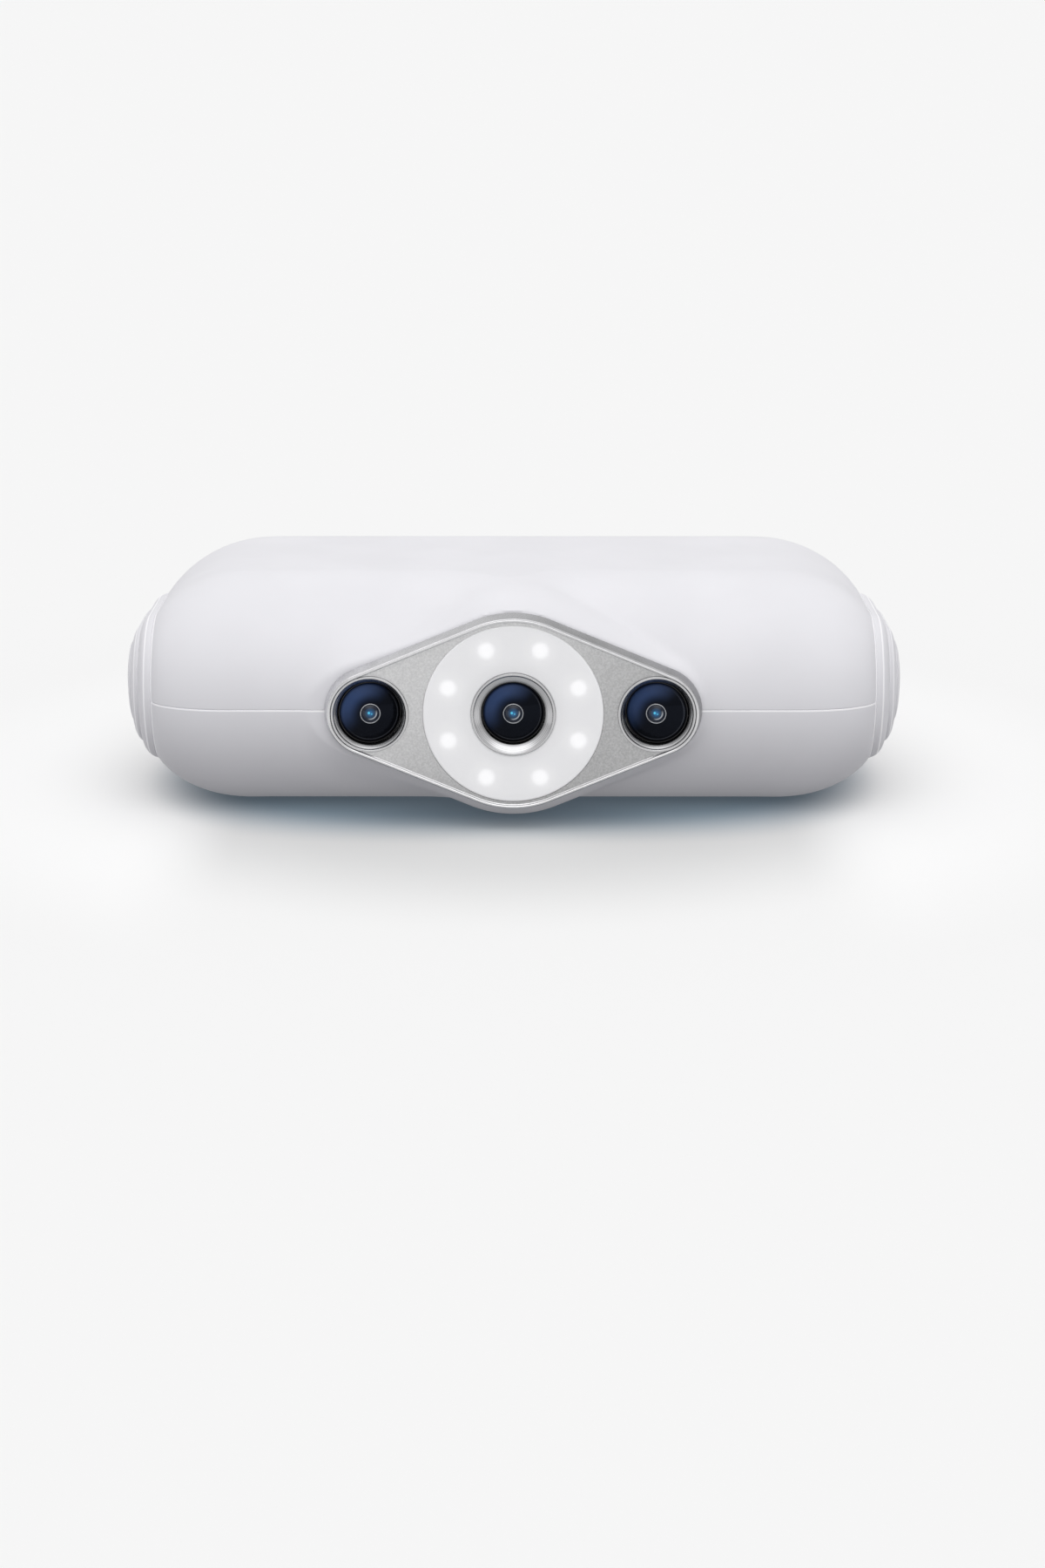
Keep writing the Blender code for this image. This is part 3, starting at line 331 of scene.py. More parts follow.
def moulded_plastic(name, tone, rough, grain=0.0006, depth=0.0000012, **levels):
    """Injection moulded plastic: fine spark grain, faint tone drift, handled patches a little glossier."""
    finish = Finish(name, tone, rough, **levels)
    finish.paint(finish.noise(45.0, 3.0).fade(0.35, 0.7), tinted(tone, 0.985), tinted(tone, 1.015))
    finish.vary(finish.noise(140.0, 4.0), rough * 0.9, rough * 1.12, end=0.75)
    finish.bump(finish.noise(1 / grain, 2.0), depth, 0.5)
    return finish.material


def blasted_metal(name, tone, rough=0.42):
    """Bead-blasted aluminium: a sparkling random grain, with painted light to the upper left and painted
    shade to the lower right.
    """
    finish = Finish(name, tone, rough, 1.0)
    grain = finish.noise(1 / 0.0004, 4.0, 0.75)
    x, _, z = finish.axes()
    # Painted light and shade: paler towards the upper left, darker towards the lower right.
    lean = x * 0.8 - (z - MIDDLE_Z)
    shade = finish.mix(lean.fade(-0.022, 0.020), tinted(tone, 1.12), tinted(tone, 0.82))
    dark, pale = finish.mix(0.11, shade, BLACK), finish.mix(0.13, shade, WHITE)
    finish.paint(grain.fade(0.34, 0.68), dark, pale)
    finish.vary(finish.noise(260.0, 3.0), rough * 0.92, rough * 1.1)
    finish.bump(grain, 0.00004, 0.55)
    return finish.material


def polished_metal(name, tone, rough=0.14):
    """Bright cut metal with very fine cutter lines and a few soft handling marks."""
    finish = Finish(name, tone, rough, 1.0)
    lines = finish.noise(900.0, 3.0, 0.6, finish.stretched((1.0, 9.0, 1.0)))
    finish.vary(finish.noise(320.0, 4.0), rough * 0.8, rough * 1.35, 0.35, 0.75)
    finish.paint(lines.fade(0.3, 0.7), tinted(tone, 0.95), tinted(tone, 1.04))
    finish.bump(lines, 0.000004, 0.3)
    return finish.material


def turned_metal(name, tone, rough, pitch=0.00012, depth=0.000006, metal=1.0, dark=None):
    """Metal turned on a lathe: fine rings about the piece's axis, with painted shade towards the inside where
    asked.
    """
    finish = Finish(name, tone, rough, metal)
    turn = finish.radius() * (2 * math.pi / pitch)
    rings = turn.maths("SINE", turn)
    wander = finish.noise(500.0, 3.0)
    finish.vary(wander, rough * 0.85, rough * 1.2)
    base = finish.mix(rings * 0.5 + 0.5, tinted(tone, 0.86), tinted(tone, 1.08))
    if dark:
        # Painted shade: the base darkens towards the piece's axis between the two given radii.
        base = finish.mix(finish.radius().fade(*dark), base, tinted(tone, 0.22))
    finish.feed({"Base Color": base})
    finish.bump(rings * 0.5 + wander, depth, 0.5)
    return finish.material


def extruded_aluminium(name, tone, rough, stretch=(1.0, 12.0, 1.0), painted_side_shading=None):
    """Drawn or extruded metal: long fine lines, oxide patches, and where asked painted light to one side,
    painted shade to the other and towards the bottom.
    """
    finish = Finish(name, tone, rough, 1.0)
    lines = finish.noise(2200.0, 3.0, 0.6, finish.stretched(stretch))
    oxide = finish.noise(180.0, 4.0)
    base = tone
    if painted_side_shading:
        # Painted light and shade: lighter to the left, darker to the right, and much darker below the middle
        # height.
        x, _, z = finish.axes()
        base = finish.mix(x.fade(-0.02, 0.02), tinted(tone, painted_side_shading[0]), tinted(tone, painted_side_shading[1]))
        base = finish.mix(z.fade(MIDDLE_Z - 0.002, MIDDLE_Z - 0.006), base, tinted(tone, 0.3))
    finish.paint(oxide.fade(0.35, 0.75, 0.0, 0.16), base, BLACK)
    finish.vary(lines, rough * 0.8, rough * 1.25)
    finish.bump(lines, 0.000008, 0.4)
    return finish.material


def milky_diffuser(look, spot_level=0.17, halo_level=0.04, ground=0.155):
    """Milky plastic lit from behind by a circle of small lamps, with painted shade towards its inner edge."""
    tone = look.milk
    finish = Finish("milky_diffuser", tone, 0.42, subsurface_weight=0.12)
    finish.feed({"Subsurface Radius": (0.002, 0.002, 0.002), "Emission Strength": 1.0})
    x, y, _ = finish.axes()
    step = 2 * math.pi / look.count
    turn = (x.maths("ARCTAN2", y, x) % step) - step / 2
    radius = span(x, y)
    across = turn.maths("SINE", turn) * radius
    along = turn.maths("COSINE", turn) * radius - look.circle
    away = span(across, along)
    spot = away.fade(look.spot * 1.6, look.spot * 0.7)
    halo = away.fade(look.spot * 3.4, look.spot * 0.6)
    glow = spot * look.glow * spot_level + halo * halo_level + ground
    haze = finish.noise(900.0, 2.0)
    # Painted shade: the diffuser darkens towards its inner edge by the trim.
    body = finish.mix(radius.fade(0.0115, 0.0081) * 0.14, tone, tinted(tone, 0.55))
    finish.paint(haze * 0.04, body, tinted(tone, 0.8))
    finish.feed({"Emission Color": finish.mix(glow, BLACK, WHITE)})
    finish.vary(haze, 0.38, 0.48)
    finish.bump(haze, 0.000003, 0.4)
    return finish.material


def lens_coating(look):
    """Dark glass with a blue antireflection coating, with a painted sheen towards the upper left and a
    painted pale reflection arc at the lower right.
    """
    finish = Finish("lens_coating", look.glass, 0.045)
    finish.feed({"Specular Tint": look.sheen, "Specular IOR Level": 0.12})
    x, y, _ = finish.axes()
    radius = span(x, y)
    lean = (y - x) * 0.7071
    # Painted sheen: a painted reflection, lighter towards the upper left of the glass.
    painted_sheen = lean.fade(-0.0006, 0.0050) * radius.fade(0.0016, 0.0042)
    glass_with_painted_sheen = finish.mix(painted_sheen, look.glass, look.painted_sheen)
    # Painted reflection: a thin pale arc just inside the rim at the lower right.
    halo = (1 - abs(radius - GLASS_RIM * 0.92).fade(0.00003, 0.00016)) * lean.fade(0.002, -0.003)
    glass_with_painted_sheen = finish.mix(halo * 0.8, glass_with_painted_sheen, (0.06, 0.065, 0.075))
    finish.paint(radius.fade(GLASS_RIM * 0.90, GLASS_RIM) * 0.8, glass_with_painted_sheen, (0.003, 0.003, 0.004))
    finish.vary(finish.noise(700.0, 2.0), 0.03, 0.06)
    return finish.material


def inner_glass(look):
    """The small inner lens: deep blue, with a painted glow, two painted glints and a painted pale reflection
    arc at the lower right.
    """
    finish = Finish("inner_lens", look.iris, 0.04, emission_strength=0.6)
    radius = finish.radius()
    x, y, _ = finish.axes()
    # Painted highlights: two glints and a pale arc, given as glow.
    first = ((x + 0.00028) ** 2 + (y - 0.00010) ** 2) ** 0.5
    second = ((x - 0.00026) ** 2 + (y + 0.00012) ** 2) ** 0.5
    glint = first.fade(0.00034, 0.00012) + second.fade(0.00024, 0.00008) * 0.6
    rim = (1 - abs(radius - 0.00118).fade(0.00006, 0.00018)) * (x - y).fade(0.0004, 0.0015)
    # Painted glow: the blue middle glows, though the inner lens is no lamp.
    lit = finish.mix(radius.fade(0.0008, 0.0012), (0.004, 0.050, 0.120), (0.0, 0.003, 0.010))
    lit = finish.mix(glint, lit, (0.10, 0.75, 1.0))
    finish.paint(radius.fade(0.0002, 0.0008), look.iris, (0.003, 0.006, 0.018))
    finish.feed({"Emission Color": finish.mix(rim * 0.7, lit, (0.7, 0.75, 0.8))})
    finish.bump(finish.noise(1500.0), 0.000002, 0.2)
    return finish.material


def status_glow(tone):
    """The status light's pipe, brightest in the middle."""
    finish = Finish("status_glow", tone, 0.2, emission_strength=0.8, coat_weight=0.5)
    bright = finish.mix(finish.radius().fade(0.0, 0.0012), tinted(tone, 1.2), tinted(tone, 0.45))
    finish.feed({"Base Color": bright, "Emission Color": bright})
    finish.bump(finish.noise(3000.0), 0.000003, 0.3)
    return finish.material


def circuit_board(name, tone):
    """Solder mask over copper tracks, with pads and small holes."""
    finish = Finish(name, tone, 0.38, coat_weight=0.25)
    tracks = finish.noise(260.0, 1.0, 0.4, finish.stretched((1.0, 0.35, 1.0)))
    along = abs(tracks * 9.0 % 1.0 - 0.5).fade(0.16, 0.10)
    tracks = finish.noise(230.0, 1.0, 0.4, finish.stretched((0.3, 1.0, 1.0)))
    across = abs(tracks * 8.0 % 1.0 - 0.5).fade(0.13, 0.08)
    pads = finish.cells(420.0).fade(0.16, 0.12)
    copper = finish.mix(along + across * 0.6, tone, tinted(tone, 1.9))
    finish.paint(pads, copper, (0.62, 0.56, 0.40))
    finish.feed({"Metallic": pads})
    finish.vary(pads, 0.36, 0.25, 0.2, 0.8)
    finish.bump(along + pads, 0.00003, 0.6)
    return finish.material


def chip_resin(name, tone):
    """Matt moulding resin of a chip, with a faint flow pattern."""
    finish = Finish(name, tone, 0.48)
    speck = finish.noise(5000.0, 3.0)
    finish.paint(speck, tinted(tone, 0.8), tinted(tone, 1.5))
    finish.vary(finish.noise(300.0, 2.0), 0.42, 0.58)
    finish.bump(speck, 0.00001, 0.4)
    return finish.material


def ribbon_film(name, tone):
    """Amber film with copper conductors along its length."""
    finish = Finish(name, tone, 0.28, coat_weight=0.4)
    x, _, _ = finish.axes()
    wire = abs(x * 2000.0 % 1.0 - 0.5).fade(0.30, 0.22)
    base = finish.mix(wire, tone, (0.70, 0.36, 0.14))
    finish.paint(finish.noise(600.0, 3.0) * 0.2, base, tinted(tone, 0.6))
    finish.feed({"Metallic": wire * 0.5})
    finish.bump(wire, 0.00002, 0.5)
    return finish.material


def lamp_face(name, tone, glow):
    """A small lamp's face: pale phosphor with a faint grid."""
    finish = Finish(name, tone, 0.3, emission_strength=glow)
    grid = finish.cells(2500.0)
    finish.paint(grid, tone, tinted(tone, 0.7))
    finish.feed({"Emission Color": finish.mix(grid, tone, tinted(tone, 0.8))})
    finish.bump(grid, 0.00001, 0.4)
    return finish.material


def piece(name, mesh, materials, nodes, place=None, body="casing"):
    """A finished piece: riding on its body and standing for its nodes."""
    obj = bpy.data.objects.new(name, mesh)
    bpy.context.scene.collection.objects.link(obj)
    if materials:
        marks = [min(polygon.material_index, len(materials) - 1) for polygon in mesh.polygons]
        mesh.materials.clear()
        for material in materials:
            mesh.materials.append(material)
        mesh.polygons.foreach_set("material_index", marks)
    if place is not None:
        obj.matrix_world = place
    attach(obj, body)
    if nodes:
        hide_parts(*nodes)
    return obj


def facing(turn, x, y):
    """A place at middle height on the front or the back, its local Z pointing outwards."""
    return Matrix.Translation((x, y, MIDDLE_Z)) @ turn


def shaded(mesh, angle):
    """The mesh with smooth faces and its edges sharp above an angle in degrees."""
    mesh.shade_smooth()
    mesh.set_sharp_from_angle(angle=math.radians(angle))
    return mesh


def poured(bm, mesh, joined=True):
    """The mesh filled from a bmesh, with its normals outwards where its faces are joined."""
    if joined:
        bmesh.ops.recalc_face_normals(bm, faces=bm.faces)
    bm.to_mesh(mesh)
    bm.free()
    return mesh


def net(name, points, around=False, along=False, caps=False, tags=None):
    """A mesh of quads over rows and columns of points, closed on itself where asked."""
    points = np.asarray(points, float)
    rows, cols = points.shape[:2]
    ids = np.arange(rows * cols).reshape(rows, cols)
    if around:
        ids = np.hstack([ids, ids[:, :1]])
    if along:
        ids = np.vstack([ids, ids[:1]])
    quads = np.stack([ids[:-1, :-1], ids[:-1, 1:], ids[1:, 1:], ids[1:, :-1]], -1)
    faces = [tuple(quad) for quad in quads.reshape(-1, 4).tolist()]
    if caps:
        faces.append(tuple(range(cols - 1, -1, -1)))
        faces.append(tuple(range((rows - 1) * cols, rows * cols)))
    mesh = bpy.data.meshes.new(name)
    mesh.from_pydata(points.reshape(-1, 3).tolist(), [], faces)
    if tags is not None:
        marks = [tags[row] for row in range(quads.shape[0]) for _ in range(quads.shape[1])]
        marks += [tags[0], tags[-1]] if caps else []
        mesh.polygons.foreach_set("material_index", marks)
    bm = bmesh.new()
    bm.from_mesh(mesh)
    bmesh.ops.remove_doubles(bm, verts=bm.verts, dist=1e-7)
    return poured(bm, mesh)


def slab(name, rings):
    """A closed solid through outlines, first and last filled."""
    return net(name, rings, around=True, caps=True)


def lathe(name, profile, steps=96):
    """A profile of (radius, height) points turned round local Z, closed unless it starts on the axis."""
    turns = np.linspace(0, 2 * math.pi, steps, endpoint=False)
    profile = np.asarray(profile, float)
    radius, height = profile[:, :1], np.repeat(profile[:, 1:], steps, 1)
    points = np.stack([radius * np.cos(turns), radius * np.sin(turns), height], -1)
    return net(name, points, around=True, along=bool(profile[0, 0] > 0))


def turned(name, profile, steps, angle):
    """A turned profile, shaded."""
    return shaded(lathe(name, profile, steps), angle)


def arc(centre, radius, start, end, steps):
    """Points along a circular arc in a profile, angles in degrees."""
    angles = [math.radians(start + (end - start) * step / steps) for step in range(steps + 1)]
    return [(centre[0] + radius * math.cos(a), centre[1] + radius * math.sin(a)) for a in angles]


def rounding(radius, angles):
    """How far in and down a rounded edge lies at angles in degrees."""
    return [(radius * (1 - math.cos(a)), radius * (1 - math.sin(a))) for a in np.radians(angles)]


def rod(low, high, radius, x, y, flare=0.0):
    """An upright closed cylinder, its lower mouth flared where asked, and its place."""
    profile = [(0.0, high), (radius, high), (radius, low + flare), (radius + flare, low), (0.0, low)]
    return lathe("rod", profile, 64), Matrix.Translation((x, y, 0))


def filled(mesh, chosen=lambda edge: True):
    """The mesh with its open rims filled where chosen."""
    bm = bmesh.new()
    bm.from_mesh(mesh)
    bmesh.ops.holes_fill(bm, edges=[edge for edge in bm.edges if edge.is_boundary and chosen(edge)])
    return poured(bm, mesh)


def scratch(mesh, matrix=None):
    """A helper object that cuts or joins and is then removed."""
    obj = bpy.data.objects.new("scratch", mesh)
    bpy.context.scene.collection.objects.link(obj)
    if matrix is not None:
        obj.matrix_world = matrix
    return obj


def modified(obj, kind, **settings):
    """The helper object with one more modifier."""
    configured(obj.modifiers.new("step", kind), settings)
    return obj


def settled(obj, others=()):
    """The mesh that an object's modifiers make, with the object and its helpers removed."""
    bpy.context.view_layer.update()
    depsgraph = bpy.context.evaluated_depsgraph_get()
    mesh = bpy.data.meshes.new_from_object(obj.evaluated_get(depsgraph))
    if not len(mesh.polygons):
        raise RuntimeError(f"{obj.data.name} has no faces left")
    mesh.name = obj.data.name
    for gone in (obj, *others):
        bpy.data.objects.remove(gone)
    return mesh


def carved(mesh, steps, solver="MANIFOLD"):
    """The mesh after a list of (operation, mesh, matrix) Boolean steps."""
    obj, others = scratch(mesh), []
    for operation, other_mesh, matrix in steps:
        others.append(scratch(other_mesh, matrix))
        modified(obj, "BOOLEAN", operation=operation, solver=solver, object=others[-1])
    return settled(obj, others)


def thickened(mesh, thickness):
    """The mesh given a wall on its inner side."""
    settings = {"thickness": thickness, "offset": -1.0, "use_even_offset": True}
    return settled(modified(scratch(mesh), "SOLIDIFY", **settings))


def softened(mesh, width, segments=2, angle=40.0):
    """The mesh with its sharper edges rounded."""
    settings = {"width": width, "segments": segments, "angle_limit": math.radians(angle)}
    settings.update(limit_method="ANGLE", harden_normals=False)
    return settled(modified(scratch(mesh), "BEVEL", **settings))


def receded(travel, run, drop):
    """How far an elliptical corner has fallen back after some travel along it."""
    part = np.clip(travel / run, 0.0, 1.0)
    return drop * (1 - np.sqrt(1 - part * part))


def body_limits(x):
    """Front, back and half height of the casing along its length."""
    past = np.minimum(np.abs(x), SEAM_X) - SEAM_X
    front = receded(past + FRONT_CORNER, FRONT_CORNER * FRONT_RUN, FRONT_RECEDE)
    back = receded(past + BACK_CORNER, BACK_CORNER * BACK_RUN, BACK_RECEDE)
    drop = receded(past + HEIGHT_CORNER, HEIGHT_CORNER * HEIGHT_RUN, HEIGHT_DROP)
    return BODY_FRONT + front, BODY_BACK - back, MIDDLE_Z - drop


def lozenge(x, z):
    """Signed distance from the bezel's outline, positive outside."""
    ax, az = np.abs(x), np.abs(z - MIDDLE_Z)
    nx, nz = math.sin(LEAN), math.cos(LEAN)
    along = ax * nz - az * nx
    line = ax * nx + az * nz - LOBE_R
    centre = np.hypot(ax, az) - LOBE_R
    side = np.hypot(ax - LENS_X, az) - SIDE_R
    return np.where(along < 0, centre, np.where(along > LENS_X * nz, side, line))


def outline(offset, y):
    """Points round the bezel's outline, moved outwards by an offset, at one depth."""
    quarter = math.pi / 2
    arcs = (
        (LENS_X, SIDE_R, LEAN - quarter, quarter - LEAN, 40),
        (0.0, LOBE_R, quarter - LEAN, quarter + LEAN, 26),
        (-LENS_X, SIDE_R, quarter + LEAN, 3 * quarter - LEAN, 40),
        (0.0, LOBE_R, 3 * quarter - LEAN, 3 * quarter + LEAN, 26),
    )
    points = []
    for centre, radius, start, end, steps in arcs:
        reach = radius + offset
        for angle in np.linspace(start, end, steps + 1):
            points.append((centre + reach * math.cos(angle), y, MIDDLE_Z + reach * math.sin(angle)))
    return points


def pill(half_length, half_height, steps=28):
    """A flat outline with round ends."""
    points = []
    for side in (1, -1):
        for turn in np.linspace(-math.pi / 2, math.pi / 2, steps + 1):
            across = half_length - half_height + half_height * math.cos(turn)
            points.append((side * across, side * half_height * math.sin(turn)))
    return points


def standing(points, y, x=0.0):
    """A flat outline stood up across the back at one depth."""
    return [(x + u, y, MIDDLE_Z + v) for u, v in points]


def flare_curve():
    """The fairing's flare against depth, with the corners of its few measured points cut smooth."""
    points = np.array(FLARES)
    for _ in range(4):
        near, far = points[:-1], points[1:]
        inner = np.stack([near * 0.75 + far * 0.25, near * 0.25 + far * 0.75], 1).reshape(-1, 2)
        points = np.vstack([points[:1], inner, points[-1:]])
    return points


FLARE_CURVE = flare_curve()


def skin_distance(x, y, z, blend):
    """Roughly how far a point is outside the casing and fairing, filleted where they meet."""
    front, back, half = body_limits(x)
    reach, middle = (back - front) / 2, (front + back) / 2
    flat = reach * FLAT_SHARE
    across = np.maximum(np.abs(y - middle) - flat, 0) / (reach - flat)
    up = np.abs(z - MIDDLE_Z) / half
    body = (np.hypot(across, up) - 1) * np.minimum(reach - flat, half)
    depth = (y - FAIRING_FRONT) / FAIRING_DEPTH
    flare = FAIRING_FLARE * np.interp(depth, FLARE_CURVE[:, 0], FLARE_CURVE[:, 1])
    ends = np.maximum(FAIRING_FRONT - y, y - FAIRING_FRONT - FAIRING_DEPTH)
    fairing = np.maximum(ends, lozenge(x, z) - flare)
    part = np.clip(0.5 + 0.5 * (fairing - body) / blend, 0, 1)
    return fairing * (1 - part) + body * part - blend * part * (1 - part)


def casing_columns(edge):
    """Places along the length and how far the skin is drawn in there, finest at the corners."""
    start = SEAM_X - BACK_CORNER
    middle = np.arange(-0.042, 0.0421, 0.00075)
    corner = start + (CASING_END - edge - start) * np.sin(np.linspace(0, math.pi / 2, 24))
    turns = np.radians((30, 60, 90))
    tail = [(CASING_END - edge + edge * math.sin(t), edge * (1 - math.cos(t))) for t in turns]
    right = [(x, 0.0) for x in (0.0434, 0.0449, *corner[1:])] + tail
    left = [(-x, inset) for x, inset in reversed(right)]
    return left + [(x, 0.0) for x in middle] + right


def casing_reach(x, middle, turns, blend, far=0.06, halvings=26):
    """How far the skin is from the middle in each direction, found by halving."""
    low, high = np.zeros_like(turns), np.full_like(turns, far)
    for _ in range(halvings):
        probe = (low + high) / 2
        y, z = middle - probe * np.cos(turns), MIDDLE_Z + probe * np.sin(turns)
        outside = skin_distance(x, y, z, blend) > 0
        high, low = np.where(outside, probe, high), np.where(outside, low, probe)
    return low


def casing_skin(look, side, samples=700, front_weight=1.6):
    """Points over the outside of the upper (+1) or lower (-1) half, from front seam to back seam."""
    turns = np.linspace(0, math.pi, samples)
    base = look.seam / 2 + look.edge
    turn_in = np.radians((0, 30, 60))
    draw = look.edge * (1 - np.sin(turn_in))
    drop = look.seam / 2 + look.edge * (1 - np.cos(turn_in))
    grid = []
    for x, inset in casing_columns(look.edge):
        front, back, _ = (float(v) for v in body_limits(np.array(x)))
        middle = (front + back) / 2
        slide = min(max((x + 0.03) / 0.06, 0.0), 1.0)
        blend = look.blend_left + (look.blend_right - look.blend_left) * slide * slide * (3 - 2 * slide)
        reach = casing_reach(x, middle, turns, blend) - inset
        y = np.maximum(middle - reach * np.cos(turns), FAIRING_FRONT)
        rise = np.minimum(reach * np.sin(turns), MIDDLE_Z)
        weight = np.where(y < 0.0, front_weight, 1.0)
        steps = np.hypot(np.diff(y), np.diff(rise)) * (weight[1:] + weight[:-1]) / 2
        travel = np.concatenate([[0.0], np.cumsum(steps)])
        peak = int(np.argmax(rise))
        first = np.interp(base, rise[:peak], travel[:peak])
        last = np.interp(-base, -rise[peak:], travel[peak:])
        marks = np.linspace(first + look.line, last - look.line, look.rows - 2)
        marks = np.concatenate([[first], marks, [last]])
        row_y, row_rise = np.interp(marks, travel, y), np.interp(marks, travel, rise)
        column_y = np.concatenate([row_y[0] + draw, row_y, (row_y[-1] - draw)[::-1]])
        column_rise = np.concatenate([drop, row_rise, drop[::-1]])
        grid.append(np.stack([np.full_like(column_y, x), column_y, MIDDLE_Z + side * column_rise], -1))
    return np.array(grid)


class ScannerCasing(bpy.types.Operator):
    """Build the two halves of the white casing with their fairing, seam and openings"""

    bl_idname = "scanner.casing"
    bl_label = "Casing"

    def execute(self, context):
        look = context.scene.scanner_casing
        white = moulded_plastic("moulded_white", look.white, look.gloss, specular_ior_level=0.12)
        # Painted highlight: a paler, slightly glowing copy of the white for the seam edges.
        pale = tinted(look.white, 1.2)
        bright = moulded_plastic("painted_seam_highlight", pale, look.gloss, emission_strength=look.seam_highlight_glow)
        bright.node_tree.nodes["Principled BSDF"].inputs["Emission Color"].default_value = (*WHITE, 1.0)
        front = slab("cut", [outline(-0.002, y) for y in (-0.045, -0.020)])
        pocket = slab("cut", [standing(pill(*POCKET_HALVES), y) for y in (0.034, 0.046)])
        for side, name, node in ((1, "casing_upper", "top_shell"), (-1, "casing_lower", "bottom_shell")):
            skin = thickened(net(name, casing_skin(look, side)), look.thickness)
            steps = self.bosses() if side < 0 else []
            steps += [("DIFFERENCE", front, None), ("DIFFERENCE", pocket, None)]
            mesh = shaded(carved(skin, steps), 40)
            # Faces along the parting line and at the ends take the painted highlight.
            for polygon in mesh.polygons:
                x, _, z = polygon.center
                at_end = abs(x) > CASING_END - look.line
                polygon.material_index = int(at_end or 0 < MIDDLE_Z - z < look.line)
            piece(name, mesh, [white, bright], [node])
        return {"FINISHED"}

    def bosses(self):
        """The tripod's and the screws' bosses with their bores, and a lip behind the seam at the pocket."""
        bosses = [TRIPOD_BOSS, *SCREW_BOSSES]
        solids = [rod(BOSS_LOW, top, radius, x, y) for x, y, radius, top, _, _ in bosses]
        deep = float(body_limits(np.array(POCKET_LIP_X))[1]) - POCKET_LIP_DEEP
        low, high = MIDDLE_Z - POCKET_LIP_RISE, MIDDLE_Z + POCKET_LIP_RISE
        solids += [rod(low, high, POCKET_LIP_R, x, deep) for x in (-POCKET_LIP_X, POCKET_LIP_X)]
        bores = [rod(0.0, depth, bore, x, y, BORE_FLARE) for x, y, _, _, bore, depth in bosses]
        return [("UNION", *solid) for solid in solids] + [("DIFFERENCE", *bore) for bore in bores]


def cap_rows(steps=11, bright=3):
    """(share, height share, bright) down the outside of a cap: rounded plates with grooves between them;
    bright marks the crest row that takes the painted highlight.
    """
    rows = []
    for index, ((near, low), (far, high)) in enumerate(zip(TERRACES, TERRACES[1:])):
        if index:
            groove = ((0.010, 0.006), (0.005, 0.042), (-0.002, 0.034))
            rows += [(near + out, low - down, 0) for out, down in groove]
        bend = (near * 0.82 + far * 0.18, high * 0.80 + low * 0.20)
        for step in range(1 if index else 0, steps):
            t = step / steps
            a, b, c = (1 - t) ** 2, 2 * t * (1 - t), t * t
            place = (a * near + b * bend[0] + c * far, a * low + b * bend[1] + c * high)
            rows.append((*place, int(step == bright)))
    rows.append((*TERRACES[-1], 0))
    return rows


def seam_section(x, inset, part, steps=30):
    """Points round the casing's end section, drawn in and scaled, moved out to x."""
    front, back, half = (float(v) for v in body_limits(np.array(SEAM_X)))
    reach, middle = (back - front) / 2 - inset, (front + back) / 2
    flat = reach * FLAT_SHARE
    points = []
    for quarter in range(4):
        side = 1 if quarter in (0, 3) else -1
        for step in range(1 if quarter == 2 else 0, steps if quarter == 3 else steps + 1):
            turn = (quarter + step / steps) * math.pi / 2
            y = side * flat + (reach - flat) * math.cos(turn)
            points.append((x, middle + y * part, MIDDLE_Z + (half - inset) * math.sin(turn) * part))
    return points


class ScannerCaps(bpy.types.Operator):
    """Build the stepped end caps"""

    bl_idname = "scanner.caps"
    bl_label = "End caps"

    def execute(self, context):
        # The crest rows take the painted highlight of the seams.
        materials = [bpy.data.materials["moulded_white"], bpy.data.materials["painted_seam_highlight"]]
        face = CASING_END + context.scene.scanner_casing.seam
        rise = LENGTH / 2 - face
        rows = [(SEAM_X - CAP_ROOT, CAP_WALL, 1.0, 0), (face, CAP_WALL, 1.0, 0)]
        rows += [(face + back, inset, 1.0, 0) for back, inset in rounding(CAP_EDGE, (0, 30, 60))]
        for part, height, tag in cap_rows():
            rows.append((face + CAP_EDGE + (rise - CAP_EDGE) * height, 0.0, part, tag))
        for sign, name, node in ((1, "cap_right", "right_end_cap"), (-1, "cap_left", "left_end_cap")):
            rings = [seam_section(sign * x, inset, part) for x, inset, part, _ in rows]
            mesh = net(name, rings, around=True, tags=[tag for *_, tag in rows[:-1]])
            mesh = filled(mesh, lambda edge: abs(edge.verts[0].co.x) > LENGTH / 2 - 0.0001)
            piece(name, shaded(mesh, 25), materials, [node])
        return {"FINISHED"}


